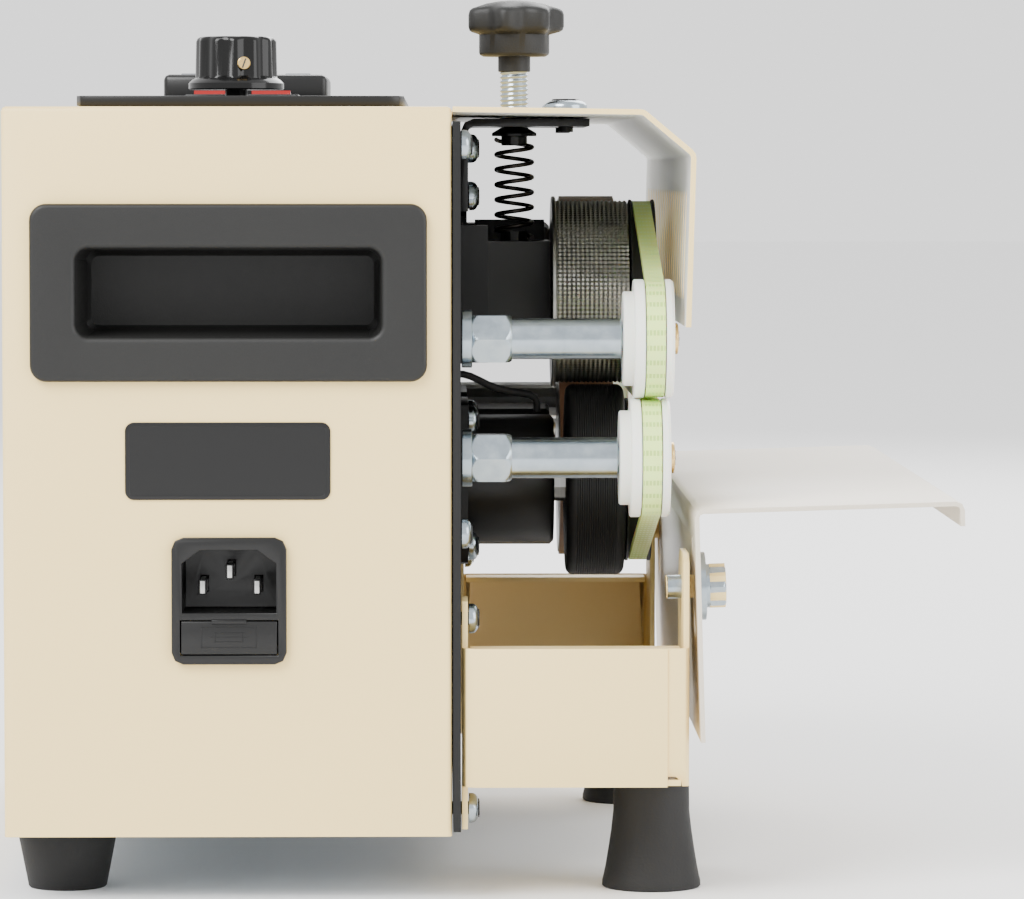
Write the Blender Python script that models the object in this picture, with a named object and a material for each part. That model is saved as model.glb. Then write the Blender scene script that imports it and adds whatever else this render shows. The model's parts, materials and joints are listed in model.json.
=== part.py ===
"""Continuous band sealer: a desk machine that draws a bag's mouth between two bands and seals it.

The near end of the case is the plane y = 0, the outer face of the black mechanism panel is the
plane x = 0 and the ground is the plane z = 0, until the parent empty moves the whole machine to
its origin at the middle of its footprint. All sizes are in metres.
"""

import math

import bmesh
import bpy
from mathutils import Matrix, Vector

# General clearances and sheet
FIT = 0.0003
OVERRUN = 0.003
SHEET = 0.0012
FOLD_STEPS = 2
BORE_STEPS = 10
SCREW_STEPS = 8
WHEEL_STEPS = 26
HUB_STEPS = 16

# Case
CASE_WIDTH = 0.1151
CASE_LENGTH = 0.280
CASE_BOTTOM = 0.0172
CASE_TOP = 0.2048
CASE_CORNER = 0.0012
CASE_FLANGE = 0.012
BASE_SHEET = 0.0015
PANEL_SHEET = 0.0020
PANEL_BOTTOM = 0.0183
PANEL_TOP = 0.2010

# Front guard
GUARD_SHEET = 0.0014
GUARD_RISE_END = 0.0470
GUARD_DROP = 0.0007
GUARD_SHOULDER = 0.0604
GUARD_SHOULDER_DROP = 0.0119
GUARD_FOOT = 0.0591
GUARD_FOOT_DROP = 0.0565
SLOT_COUNT = 21
SLOT_WIDTH = 0.0032
SLOT_MARGIN = 0.019
SLOT_TOP_DROP = 0.0218
SLOT_HEIGHT = 0.028

# L-bracket under the guard
BRACKET_SHEET = 0.0020
BRACKET_REACH = 0.0351
BRACKET_DROP = 0.0274
BRACKET_WIDTH = 0.066
BRACKET_BEND = 0.0035
GUARD_SCREW_X = 0.0290
GUARD_SCREW_SPACING = 0.036
GUARD_SCREW_HEAD = 0.0058
GUARD_SCREW_CROWN = 0.0028
GUARD_SCREW_SHANK = 0.0020
GUARD_SCREW_LENGTH = 0.0062

# Pan-head screws on the panel
PAN_HEAD = 0.0038
PAN_CROWN = 0.0027
PAN_SHANK = 0.0017
PAN_LENGTH = 0.0060
PAN_CROWN_SHARE = 0.62
PANEL_SCREW_INSET = 0.006
PANEL_SCREW_LOW_Z = 0.095

# Belts and bands meet on this level
NIP_Z = 0.1296

# Press wheels
PRESS_Y = 0.105
PRESS_UPPER_Z = 0.1550
PRESS_LOWER_Z = 0.1030
SHAFT_RADIUS = 0.0060
KNURL_RADIUS = 0.02525
KNURL_START = 0.0265
KNURL_END = 0.0462
EDGE_DISC_RADIUS = 0.0264
EDGE_DISC_START = 0.0253
RUBBER_START = 0.0293
RUBBER_END = 0.0454
RUBBER_SHOULDER = 0.0022
WHEEL_HUB_RADIUS = 0.0105
WHEEL_FACE_DISH = 0.0020
WHEEL_RIM = 0.0040

# Upper bearing block, its rails and the spring
BLOCK_END = 0.0249
BLOCK_START = 0.0006
BLOCK_BOTTOM = 0.1408
BLOCK_TOP = 0.1691
BLOCK_HALF_WIDTH = 0.017
BLOCK_TONGUE = 0.005
BLOCK_TONGUE_DEPTH = 0.0038
BLOCK_LEDGE_RISE = 0.0057
BLOCK_LEDGE_DEPTH = 0.008
BLOCK_LIFT = 0.003
RAIL_WALL = 0.0048
RAIL_LIP = 0.0030
RAIL_MARGIN = 0.0045
SPRING_X = 0.0152
SPRING_RADIUS = 0.00497
SPRING_WIRE = 0.00125
SPRING_TURNS = 6.5
SPRING_POINTS_A_TURN = 8
SPIGOT_RADIUS = 0.0036
SPIGOT_HEIGHT = 0.0026

# Pressure screw and star knob
SEAT_BOTTOM = 0.1979
SEAT_TOP = 0.2005
SEAT_RADIUS = 0.0062
SEAT_NECK = 0.0032
THREAD_RADIUS = 0.0040
THREAD_TIP = 0.0010
KNOB_HUB_BOTTOM = 0.2198
KNOB_STAR_BOTTOM = 0.2266
KNOB_STAR_TOP = 0.2328
KNOB_TOP = 0.2353
KNOB_STAR_RADIUS = 0.01375
KNOB_HUB_RADIUS = 0.0097
KNOB_LOBES = 7
KNOB_LOBE_DEPTH = 0.0027
KNOB_DOME_SHARE = 0.62
KNOB_POINTS_A_LOBE = 4
KNOB_EDGE = 0.0014
KNOB_FLARE = 0.0012

# Bearing housings
HOUSING_RADIUS = 0.018
HOUSING_END = 0.0260
HOUSING_FLANGE = 0.022
HOUSING_FLANGE_SHEET = 0.0020
HOUSING_SCREW_OFFSET = 0.0173
HOUSING_EDGE = 0.0010

# Gear train
GEAR_MODULE = 0.002
GEAR_TEETH = 26
PINION_TEETH = 14
GEAR_START = -0.0140
GEAR_END = -0.0060
GEAR_BACKLASH = 0.0005
GEAR_DEDENDUM_SHARE = 1.25
GEAR_TIP_SHARE = 0.42
GEAR_ROOT_SHARE = 1.42
SHAFT_TAIL = 0.0030

# Seal bands, rollers, idlers and blocks
SEAL_Y = 0.162
SEAL_CENTRE_RISE = 0.026
SEAL_ROLLER_START = 0.0285
SEAL_ROLLER_END = 0.0445
SEAL_SHAFT_END = 0.0465
BAND_THICKNESS = 0.0005
BAND_HALF_GAP = 0.0003
IDLER_Y = 0.236
IDLER_RADIUS = 0.010
IDLER_AXLE_RADIUS = 0.0035
IDLER_AXLE_HEAD = 0.0055
IDLER_COLLAR = 0.0060
IDLER_HEAD_HEIGHT = 0.0012
BLOCK_HEIGHT = 0.016
BLOCK_POST_RADIUS = 0.005
COOLING_START = 0.1885
COOLING_LENGTH = 0.0130
HEATER_START = 0.2035
HEATER_LENGTH = 0.0185
BLOCK_EDGE = 0.0012

# Guide wheels, standoffs and belts
GUIDE_NEAR_Y = 0.0156
GUIDE_UPPER_Z = 0.1449
GUIDE_LOWER_Z = 0.1140
GUIDE_UPPER_X = 0.0502
GUIDE_LOWER_X = 0.0493
GUIDE_BELT_WIDTH = 0.0048
GUIDE_BELT_THICKNESS = 0.0018
GUIDE_BELT_RADIUS = 0.0152
GUIDE_FLANGE_RADIUS = 0.0154
GUIDE_INNER_FLANGE = 0.0028
GUIDE_OUTER_FLANGE = 0.0021
GUIDE_HUB_RADIUS = 0.01225
GUIDE_HUB_LENGTH = 0.0027
GUIDE_AXLE_RADIUS = 0.0030
GUIDE_SCREW_HEAD = 0.0040
GUIDE_SCREW_CROWN = 0.0012
GUIDE_CHAMFER = 0.0006
STANDOFF_HEX = 0.0064
STANDOFF_HEX_LENGTH = 0.0103
STANDOFF_RADIUS = 0.0053
STANDOFF_CHAMFER = 0.0012
STANDOFF_STUD = 0.0030
STANDOFF_STUD_LENGTH = 0.0065
STANDOFF_WASHER_RADIUS = 0.0075
STANDOFF_WASHER = 0.0027
PULLEY_UPPER_RADIUS = 0.0252
PULLEY_LOWER_RADIUS = 0.0223
PULLEY_FLANGE = 0.0008
PULLEY_RIM = 0.0003

# Tray brackets
TRAY_SHEET = 0.0015
TRAY_LEFT = 0.0003
TRAY_RIGHT = 0.0589
TRAY_BOTTOM = 0.0298
TRAY_TOP = 0.0656
TRAY_BEND = 0.0035
TRAY_FLANGE_DEPTH = 0.020
TRAY_TOP_FLANGE = 0.012
TRAY_BOTTOM_FLANGE = 0.046
TRAY_EAR_DEPTH = 0.033
TRAY_EAR_TOP = 0.0897
TRAY_EAR_ROUND = 0.008
TRAY_TAB_TOP = 0.0776
TRAY_TAB_BOTTOM = 0.0186
TRAY_TAB_ROUND = 0.003
TRAY_FAR_INSET = 0.0335
TRAY_NOTCH = 0.0022
TRAY_SCREW_Y = 0.0132
TRAY_SCREW_RISE = 0.0068

# Bag shelf
SHELF_SHEET = 0.0012
SHELF_LENGTH = 0.269
SHELF_FOLD_X = 0.0600
SHELF_FOLD_Z = 0.1015
SHELF_WIDTH = 0.0695
SHELF_LEG = 0.0602
SHELF_LIP = 0.0064
SHELF_TILT = math.radians(1.7)
SHELF_BEND = 0.0022
SHELF_SLOT_HEIGHT = 0.0266
BOLT_Z = 0.0805
BOLT_Y = 0.0165
BOLT_RADIUS = 0.0030
BOLT_HEX = 0.0050
BOLT_HEAD = 0.0042
BOLT_TAIL = 0.0060
BOLT_WASHER_RADIUS = 0.0088
BOLT_WASHER = 0.0015
SPRING_WASHER_RADIUS = 0.0056
SPRING_WASHER = 0.0010

# Feet
CASE_FOOT_INSET = 0.0138
CASE_FOOT_Y = 0.033
CASE_FOOT_TOP_RADIUS = 0.0136
CASE_FOOT_SOLE_RADIUS = 0.0103
TRAY_FOOT_X = 0.0503
TRAY_FOOT_Y = 0.031
TRAY_FOOT_RADIUS = 0.0100
TRAY_FOOT_FLARE = 0.0130
TRAY_FOOT_NECK_Z = 0.0200
TRAY_FOOT_BRIM_Z = 0.0016
FOOT_SCREW_RADIUS = 0.0020
FOOT_SCREW_RISE = 0.0050
FOOT_STEPS = 14

# Recessed handles
HANDLE_X = -0.0594
HANDLE_Z = 0.1572
HANDLE_WIDTH = 0.1016
HANDLE_HEIGHT = 0.0455
HANDLE_CORNER = 0.0043
HANDLE_PROUD = 0.0025
HANDLE_MOUTH_WIDTH = 0.0780
HANDLE_MOUTH_HEIGHT = 0.0225
HANDLE_MOUTH_CORNER = 0.0032
HANDLE_DEPTH = 0.026
HANDLE_WALL = 0.0018
HANDLE_EDGE = 0.0010

# Mains inlet
INLET_X = -0.05945
INLET_Z = 0.0782
INLET_WIDTH = 0.0295
INLET_HEIGHT = 0.0326
INLET_CORNER = 0.0030
INLET_PROUD = 0.0020
INLET_BODY_INSET = 0.0018
INLET_BODY_DEPTH = 0.027
SOCKET_WIDTH = 0.0242
SOCKET_BOTTOM = 0.0751
SOCKET_TOP = 0.0913
SOCKET_CHAMFER_X = 0.0048
SOCKET_CHAMFER_Z = 0.0034
SOCKET_DEPTH = 0.0165
BLADE_WIDTH = 0.0020
BLADE_HEIGHT = 0.0040
BLADE_SPACING = 0.0070
BLADE_Z = 0.0814
EARTH_BLADE_RISE = 0.0040
BLADE_INSET = 0.0030
DRAWER_WIDTH = 0.0246
DRAWER_BOTTOM = 0.0645
DRAWER_TOP = 0.0730
DRAWER_FACE = 0.0016
DRAWER_DEPTH = 0.022
DRAWER_BOX_INSET = 0.0014
DRAWER_TROUGH = 0.0012

# Control panel and what sits on it
CONTROL_LEFT = -0.0991
CONTROL_RIGHT = -0.0146
CONTROL_NEAR = 0.012
CONTROL_FAR = 0.262
CONTROL_SHEET = 0.0026
CONTROL_CORNER = 0.004
KNOB_X = -0.0588
KNOB_Y = 0.039
DIAL_SKIRT_RADIUS = 0.0125
DIAL_RADIUS = 0.01075
DIAL_SKIRT_BOTTOM = 0.0019
DIAL_SKIRT_HEIGHT = 0.0026
DIAL_HEIGHT = 0.0139
DIAL_FLUTES = 12
DIAL_FLUTE_DEPTH = 0.0007
DIAL_POINTS_A_FLUTE = 3
DIAL_EDGE = 0.0009
DIAL_BORE_DEPTH = 0.009
POT_SHAFT = 0.0030
POT_RADIUS = 0.0115
POT_BODY = 0.011
ROCKER_Y = 0.104
ROCKER_LEFT_X = -0.0674
ROCKER_SPACING = 0.0158
ROCKER_WIDTH = 0.0150
ROCKER_LENGTH = 0.0210
ROCKER_RIM = 0.0016
ROCKER_FRAME_HEIGHT = 0.0016
ROCKER_BODY_DEPTH = 0.014
ROCKER_PIVOT_DROP = 0.0008
ROCKER_END_GAP = 0.0008
ROCKER_CREST = 0.0030
ROCKER_WAIST = 0.0016
ROCKER_BELLY = 0.0020
ROCKER_WELL = 0.0048
ROCKER_TILT = math.radians(9)
CONTROLLER_X = -0.0624
CONTROLLER_FAR_INSET = 0.085
CONTROLLER_SIDE = 0.048
CONTROLLER_BEZEL = 0.0086
CONTROLLER_BODY_INSET = 0.0016
CONTROLLER_BODY_DEPTH = 0.058
CONTROLLER_EDGE = 0.0016
KEY_WIDTH = 0.0075
KEY_LENGTH = 0.0040
KEY_SPACING = 0.0102
KEY_MARGIN = 0.0060
KEY_PROUD = 0.0004
KEY_DEPTH = 0.0020
KEY_TRAVEL = 0.0005

# Gear motor
GEARBOX_START = -0.0480
GEARBOX_END = -0.0180
GEARBOX_HALF = 0.029
MOTOR_RADIUS = 0.024
MOTOR_LENGTH = 0.052
MOTOR_SHAFT = 0.0050
MOTOR_FOOT_SHEET = 0.0030
MOTOR_FOOT_REACH = 0.024
MOTOR_STEPS = 18

# Lead from the panel to the lower bearing housing
LEAD_RADIUS = 0.0010
LEAD_START_Z = 0.1322
LEAD_START_Y = 0.098
LEAD_END_X = 0.0215
LEAD_STEPS = 14
LEAD_SAG = 0.0040

# Places that follow from the sizes
CASE_RIGHT = -PANEL_SHEET - FIT
CASE_LEFT = CASE_RIGHT - CASE_WIDTH
CASE_FOOT_X = CASE_LEFT + CASE_FOOT_INSET
TRAY_FAR_Y = CASE_LENGTH - TRAY_FAR_INSET
CONTROLLER_NEAR = CASE_LENGTH - CONTROLLER_FAR_INSET
GEAR_RADIUS = GEAR_MODULE * GEAR_TEETH / 2
PINION_RADIUS = GEAR_MODULE * PINION_TEETH / 2
SEAL_UPPER_Z = NIP_Z + SEAL_CENTRE_RISE
SEAL_LOWER_Z = NIP_Z - SEAL_CENTRE_RISE
BAND_INNER_RISE = BAND_HALF_GAP + BAND_THICKNESS
ROLLER_RADIUS = SEAL_CENTRE_RISE - BAND_INNER_RISE - FIT
IDLER_CENTRE_RISE = IDLER_RADIUS + BAND_INNER_RISE + FIT
RUBBER_RADIUS = PRESS_UPPER_Z - KNURL_RADIUS - FIT - PRESS_LOWER_Z
GUIDE_FAR_Y = CASE_LENGTH - GUIDE_NEAR_Y
CONTROL_TOP = CASE_TOP + FIT + CONTROL_SHEET

HEX_RING = 12
TURNS = {"X": (1, 0, 0), "Y": (0, 1, 0), "Z": (0, 0, 1)}


def clear_scene():
    for obj in list(bpy.data.objects):
        bpy.data.objects.remove(obj)


def finish(name, colour, roughness, metallic=0):
    """A Principled material with the piece's colour."""
    made = bpy.data.materials.new(name)
    made.use_nodes = True
    shader = made.node_tree.nodes["Principled BSDF"]
    shader.inputs["Base Color"].default_value = (*colour, 1)
    shader.inputs["Roughness"].default_value = roughness
    shader.inputs["Metallic"].default_value = metallic
    return made


def box(low, high):
    """A block between two opposite corners."""
    low, high = Vector(low), Vector(high)
    shape = bmesh.new()
    place = Matrix.Translation((low + high) / 2) @ Matrix.Diagonal((*(high - low), 1))
    bmesh.ops.create_cube(shape, size=1, matrix=place)
    return shape


def prism(outline, axis, start, end):
    """A closed outline drawn along X, Y or Z. It holds (y, z), (x, z) or (x, y) points."""
    order = {"X": lambda a, b: (start, a, b), "Y": lambda a, b: (a, start, b), "Z": lambda a, b: (a, b, start)}
    shape = bmesh.new()
    face = shape.faces.new([shape.verts.new(order[axis](a, b)) for a, b in outline])
    moved = bmesh.ops.extrude_face_region(shape, geom=[face])
    step = Vector(TURNS[axis]) * (end - start)
    bmesh.ops.translate(shape, vec=step, verts=[v for v in moved["geom"] if isinstance(v, bmesh.types.BMVert)])
    bmesh.ops.recalc_face_normals(shape, faces=shape.faces)
    return shape


def turned(profile, centre, direction, steps, ring=False):
    """A profile of (along, radius) points spun about the line through centre. A ring has a bore."""
    shape = bmesh.new()
    points = [shape.verts.new((radius, 0, along)) for along, radius in profile]
    edges = [shape.edges.new(pair) for pair in zip(points, points[1:])]
    if ring:
        edges.append(shape.edges.new((points[-1], points[0])))
    bmesh.ops.spin(
        shape,
        geom=points + edges,
        cent=(0, 0, 0),
        axis=(0, 0, 1),
        angle=math.tau,
        steps=steps,
        use_merge=True,
    )
    bmesh.ops.remove_doubles(shape, verts=shape.verts, dist=FIT * FIT)
    bmesh.ops.recalc_face_normals(shape, faces=shape.faces)
    turn = Vector((0, 0, 1)).rotation_difference(Vector(direction)).to_matrix().to_4x4()
    bmesh.ops.transform(shape, matrix=Matrix.Translation(centre) @ turn, verts=shape.verts)
    return shape


def rod(start, end, radius, centre, axis="X", steps=BORE_STEPS):
    """A plain round bar along an axis, from start to end. Its centre holds the other two coordinates."""
    foot = {"X": (start, *centre), "Y": (centre[0], start, centre[1]), "Z": (*centre, start)}[axis]
    length = end - start
    return turned(((0, 0), (0, radius), (length, radius), (length, 0)), foot, TURNS[axis], steps)


def bushing(start, end, bore, radius, centre, steps=BORE_STEPS):
    """A bored round piece along X."""
    length = end - start
    profile = ((0, bore), (0, radius), (length, radius), (length, bore))
    return turned(profile, (start, *centre), TURNS["X"], steps, ring=True)


def lofted(rings):
    """A solid through rings of as many points each, closed at both ends."""
    shape = bmesh.new()
    loops = [[shape.verts.new(point) for point in ring] for ring in rings]
    for lower, upper in zip(loops, loops[1:]):
        for here, there in zip(range(len(lower)), [*range(1, len(lower)), 0]):
            shape.faces.new((lower[here], lower[there], upper[there], upper[here]))
    shape.faces.new(loops[0])
    shape.faces.new(loops[-1])
    bmesh.ops.recalc_face_normals(shape, faces=shape.faces)
    return shape


def stepped(rings, place, direction):
    """A turned solid with hexagonal lengths, through rings of (along, radius, hexagonal)."""
    turn = Vector((0, 0, 1)).rotation_difference(Vector(direction)).to_matrix()
    points = []
    for along, radius, hexagonal in rings:
        ring = []
        for index in range(HEX_RING):
            reach = radius / math.cos(math.pi / 6) if hexagonal and index % 2 == 0 else radius
            angle = math.tau * index / HEX_RING
            spot = Vector((reach * math.cos(angle), reach * math.sin(angle), along))
            ring.append(Vector(place) + turn @ spot)
        points.append(ring)
    return lofted(points)


def arc(centre, radius, start, end, steps):
    """Points on an arc, by angles in degrees."""
    turns = [math.radians(start + (end - start) * step / steps) for step in range(steps + 1)]
    return [(centre[0] + radius * math.cos(a), centre[1] + radius * math.sin(a)) for a in turns]


def rounded(low, high, radius, steps=FOLD_STEPS):
    """A rectangle with rounded corners."""
    corners = (
        (high[0] - radius, high[1] - radius, 0),
        (low[0] + radius, high[1] - radius, 90),
        (low[0] + radius, low[1] + radius, 180),
        (high[0] - radius, low[1] + radius, 270),
    )
    return [point for x, y, angle in corners for point in arc((x, y), radius, angle, angle + 90, steps)]


def filleted(points, radii, steps=FOLD_STEPS):
    """A closed outline with each corner rounded by its radius, which may be zero."""
    outline = []
    for index, (corner, radius) in enumerate(zip(points, radii)):
        here = Vector(corner)
        back = (Vector(points[index - 1]) - here).normalized()
        ahead = (Vector(points[(index + 1) % len(points)]) - here).normalized()
        if radius == 0:
            outline.append(tuple(here))
            continue
        half = back.angle(ahead) / 2
        start = here + back * radius / math.tan(half)
        centre = here + (back + ahead).normalized() * radius / math.sin(half)
        sweep = (start - centre).angle_signed(here + ahead * radius / math.tan(half) - centre)
        for step in range(steps + 1):
            turn = -sweep * step / steps
            outline.append(tuple(centre + Matrix.Rotation(turn, 2) @ (start - centre)))
    return outline


def sheet_outline(path, thickness, radii):
    """The closed outline of a bent sheet whose left side follows a path of points."""
    inner = []
    for index, point in enumerate(path):
        before = Vector(path[max(index - 1, 0)])
        here = Vector(point)
        after = Vector(path[min(index + 1, len(path) - 1)])
        ways = [way.normalized() for way in (here - before, after - here) if way.length > 0]
        normals = [Vector((way.y, -way.x)) for way in ways]
        middle = sum(normals, Vector((0, 0))).normalized()
        inner.append(tuple(here + middle * thickness / middle.dot(normals[0])))
    outer_radii = [0, *radii, 0]
    inner_radii = [max(radius - thickness, 0) for radius in outer_radii]
    return filleted([*path, *reversed(inner)], [*outer_radii, *reversed(inner_radii)])


def stand_in(shape):
    """A helper object that a Boolean can read."""
    mesh = bpy.data.meshes.new("helper")
    shape.to_mesh(mesh)
    shape.free()
    helper = bpy.data.objects.new("helper", mesh)
    bpy.context.collection.objects.link(helper)
    helper.hide_render = True
    helper.display_type = "WIRE"
    return helper


def combined(base, others, operation):
    """The base joined with the others, or cut by them."""
    target = stand_in(base)
    helpers = [stand_in(other) for other in others]
    for helper in helpers:
        modifier = target.modifiers.new(operation, "BOOLEAN")
        modifier.operation = operation
        modifier.solver = "EXACT"
        modifier.object = helper
    result = bmesh.new()
    result.from_object(target, bpy.context.evaluated_depsgraph_get())
    for helper in (target, *helpers):
        bpy.data.objects.remove(helper)
    return result


def fused(base, *others):
    return combined(base, others, "UNION")


def cut(base, *others):
    return combined(base, others, "DIFFERENCE")


def gathered(*shapes):
    """Several separate solids held in one mesh."""
    whole = bmesh.new()
    for shape in shapes:
        mesh = bpy.data.meshes.new("part")
        shape.to_mesh(mesh)
        shape.free()
        whole.from_mesh(mesh)
        bpy.data.meshes.remove(mesh)
    return whole


def moved(shape, vector):
    bmesh.ops.translate(shape, vec=vector, verts=shape.verts)
    return shape


def flipped(shape, plane_y):
    """The mirror image of a shape across a plane of constant y."""
    mirror = Matrix.Translation((0, 2 * plane_y, 0)) @ Matrix.Diagonal((1, -1, 1, 1))
    bmesh.ops.transform(shape, matrix=mirror, verts=shape.verts)
    bmesh.ops.reverse_faces(shape, faces=shape.faces)
    return shape


def node(name, shape, material, origin=(0, 0, 0)):
    """The finished piece. Its mesh is held about its own origin, on its joint's axis where it moves."""
    moved(shape, -Vector(origin))
    mesh = bpy.data.meshes.new(name)
    shape.to_mesh(mesh)
    shape.free()
    mesh.shade_smooth()
    mesh.set_sharp_from_angle(angle=math.radians(35))
    mesh.materials.append(material)
    obj = bpy.data.objects.new(name, mesh)
    obj.location = origin
    obj.parent = MACHINE
    bpy.context.collection.objects.link(obj)
    return obj


def screw(place, direction, head, crown, shank, length):
    """A domed screw seated at a place, its head toward the direction."""
    profile = (
        (-length, 0),
        (-length, shank),
        (0, shank),
        (0, head),
        (crown, head * PAN_CROWN_SHARE),
        (crown, 0),
    )
    return turned(profile, place, direction, SCREW_STEPS)


def screw_hole(place, direction, shank, depth):
    """The hole that a screw's shank goes down, open past the seat."""
    profile = ((-depth, 0), (-depth, shank + FIT), (OVERRUN, shank + FIT), (OVERRUN, 0))
    return turned(profile, place, direction, SCREW_STEPS)


def hull_of_circles(circles, grow, steps):
    """The outline of a belt round circles of (y, z, radius), each grown by the same amount."""
    points = []
    for y, z, radius in circles:
        points += arc((y, z), radius + grow, 0, 360 - 360 / steps, steps - 1)
    points = sorted(set(points))
    chains = []
    for run in (points, points[::-1]):
        chain = []
        for point in run:
            while len(chain) > 1 and turn_of(chain[-2], chain[-1], point) <= 0:
                chain.pop()
            chain.append(point)
        chains.append(chain[:-1])
    return chains[0] + chains[1]


def turn_of(first, second, third):
    across = (second[0] - first[0]) * (third[1] - first[1])
    return across - (second[1] - first[1]) * (third[0] - first[0])


def belt(circles, inner_grow, thickness, start, end):
    """A closed belt of an even thickness round its wheels."""
    outer = prism(hull_of_circles(circles, inner_grow + thickness, WHEEL_STEPS), "X", start, end)
    inner = prism(hull_of_circles(circles, inner_grow, WHEEL_STEPS), "X", start - OVERRUN, end + OVERRUN)
    return cut(outer, inner)


def gear_outline(teeth, centre, phase):
    """Teeth with straight flanks. The phase is in teeth."""
    pitch_radius = GEAR_MODULE * teeth / 2
    tip = pitch_radius + GEAR_MODULE
    root = pitch_radius - GEAR_MODULE * GEAR_DEDENDUM_SHARE
    slack = GEAR_BACKLASH / (GEAR_MODULE * math.pi)
    quarter = 1 / 4 - slack / 2
    outline = []
    for tooth in range(teeth):
        for offset, radius in (
            (-quarter * GEAR_ROOT_SHARE, root),
            (-quarter * GEAR_TIP_SHARE, tip),
            (quarter * GEAR_TIP_SHARE, tip),
            (quarter * GEAR_ROOT_SHARE, root),
        ):
            angle = math.tau * (tooth + phase + offset) / teeth
            outline.append((centre[0] + radius * math.cos(angle), centre[1] + radius * math.sin(angle)))
    return outline


def meshing_phase(teeth, other_teeth, other_phase, bearing):
    """The phase that puts a gap of this gear at the other's tooth, along a bearing to the other."""
    at_other = (bearing + math.pi) / math.tau * other_teeth - other_phase
    return bearing / math.tau * teeth + at_other + 1 / 2


def pan_screw(place):
    return screw(place, TURNS["X"], PAN_HEAD, PAN_CROWN, PAN_SHANK, PAN_LENGTH)


def pan_hole(place):
    return screw_hole(place, TURNS["X"], PAN_SHANK, PAN_LENGTH + FIT)


def panel_screw_places():
    """Where pan-head screws enter the mechanism panel, by what they hold."""
    leg_x = FIT + BRACKET_SHEET + FIT
    heights = (PANEL_TOP - PANEL_SCREW_INSET, PANEL_SCREW_LOW_Z)
    edge = [(FIT, y, z) for y in (PANEL_SCREW_INSET, CASE_LENGTH - PANEL_SCREW_INSET) for z in heights]
    leg = [
        (leg_x, PRESS_Y + side * (BRACKET_WIDTH / 2 - PANEL_SCREW_INSET), CASE_TOP - BRACKET_DROP * share)
        for side in (-1, 1)
        for share in BRACKET_SCREW_SHARES
    ]
    flange_x = FIT + HOUSING_FLANGE_SHEET + FIT
    housing = [
        (flange_x, PRESS_Y + across * HOUSING_SCREW_OFFSET, PRESS_LOWER_Z + up * HOUSING_SCREW_OFFSET)
        for across, up in ((-1, 1), (1, -1), (-1, -1), (1, 1))
    ]
    tab_x = TRAY_LEFT + TRAY_SHEET + FIT
    trays = [
        (tab_x, y, z)
        for y in (TRAY_SCREW_Y, TRAY_FAR_Y - TRAY_SCREW_Y)
        for z in (TRAY_TOP + TRAY_SCREW_RISE, TRAY_BOTTOM - TRAY_SCREW_RISE)
    ]
    return {"edge": edge, "leg": leg, "housing": housing, "trays": trays}


BRACKET_SCREW_SHARES = (0.38, 0.85)
HOUSING_PLACES = ((PRESS_Y, PRESS_LOWER_Z), (SEAL_Y, SEAL_LOWER_Z), (SEAL_Y, SEAL_UPPER_Z))
STANDOFF_PLACES = tuple((y, z) for y in (GUIDE_NEAR_Y, GUIDE_FAR_Y) for z in (GUIDE_UPPER_Z, GUIDE_LOWER_Z))
IDLER_PLACES = ((IDLER_Y, NIP_Z + IDLER_CENTRE_RISE), (IDLER_Y, NIP_Z - IDLER_CENTRE_RISE))
BLOCK_SPANS = ((COOLING_START, COOLING_LENGTH), (HEATER_START, HEATER_LENGTH))


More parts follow.
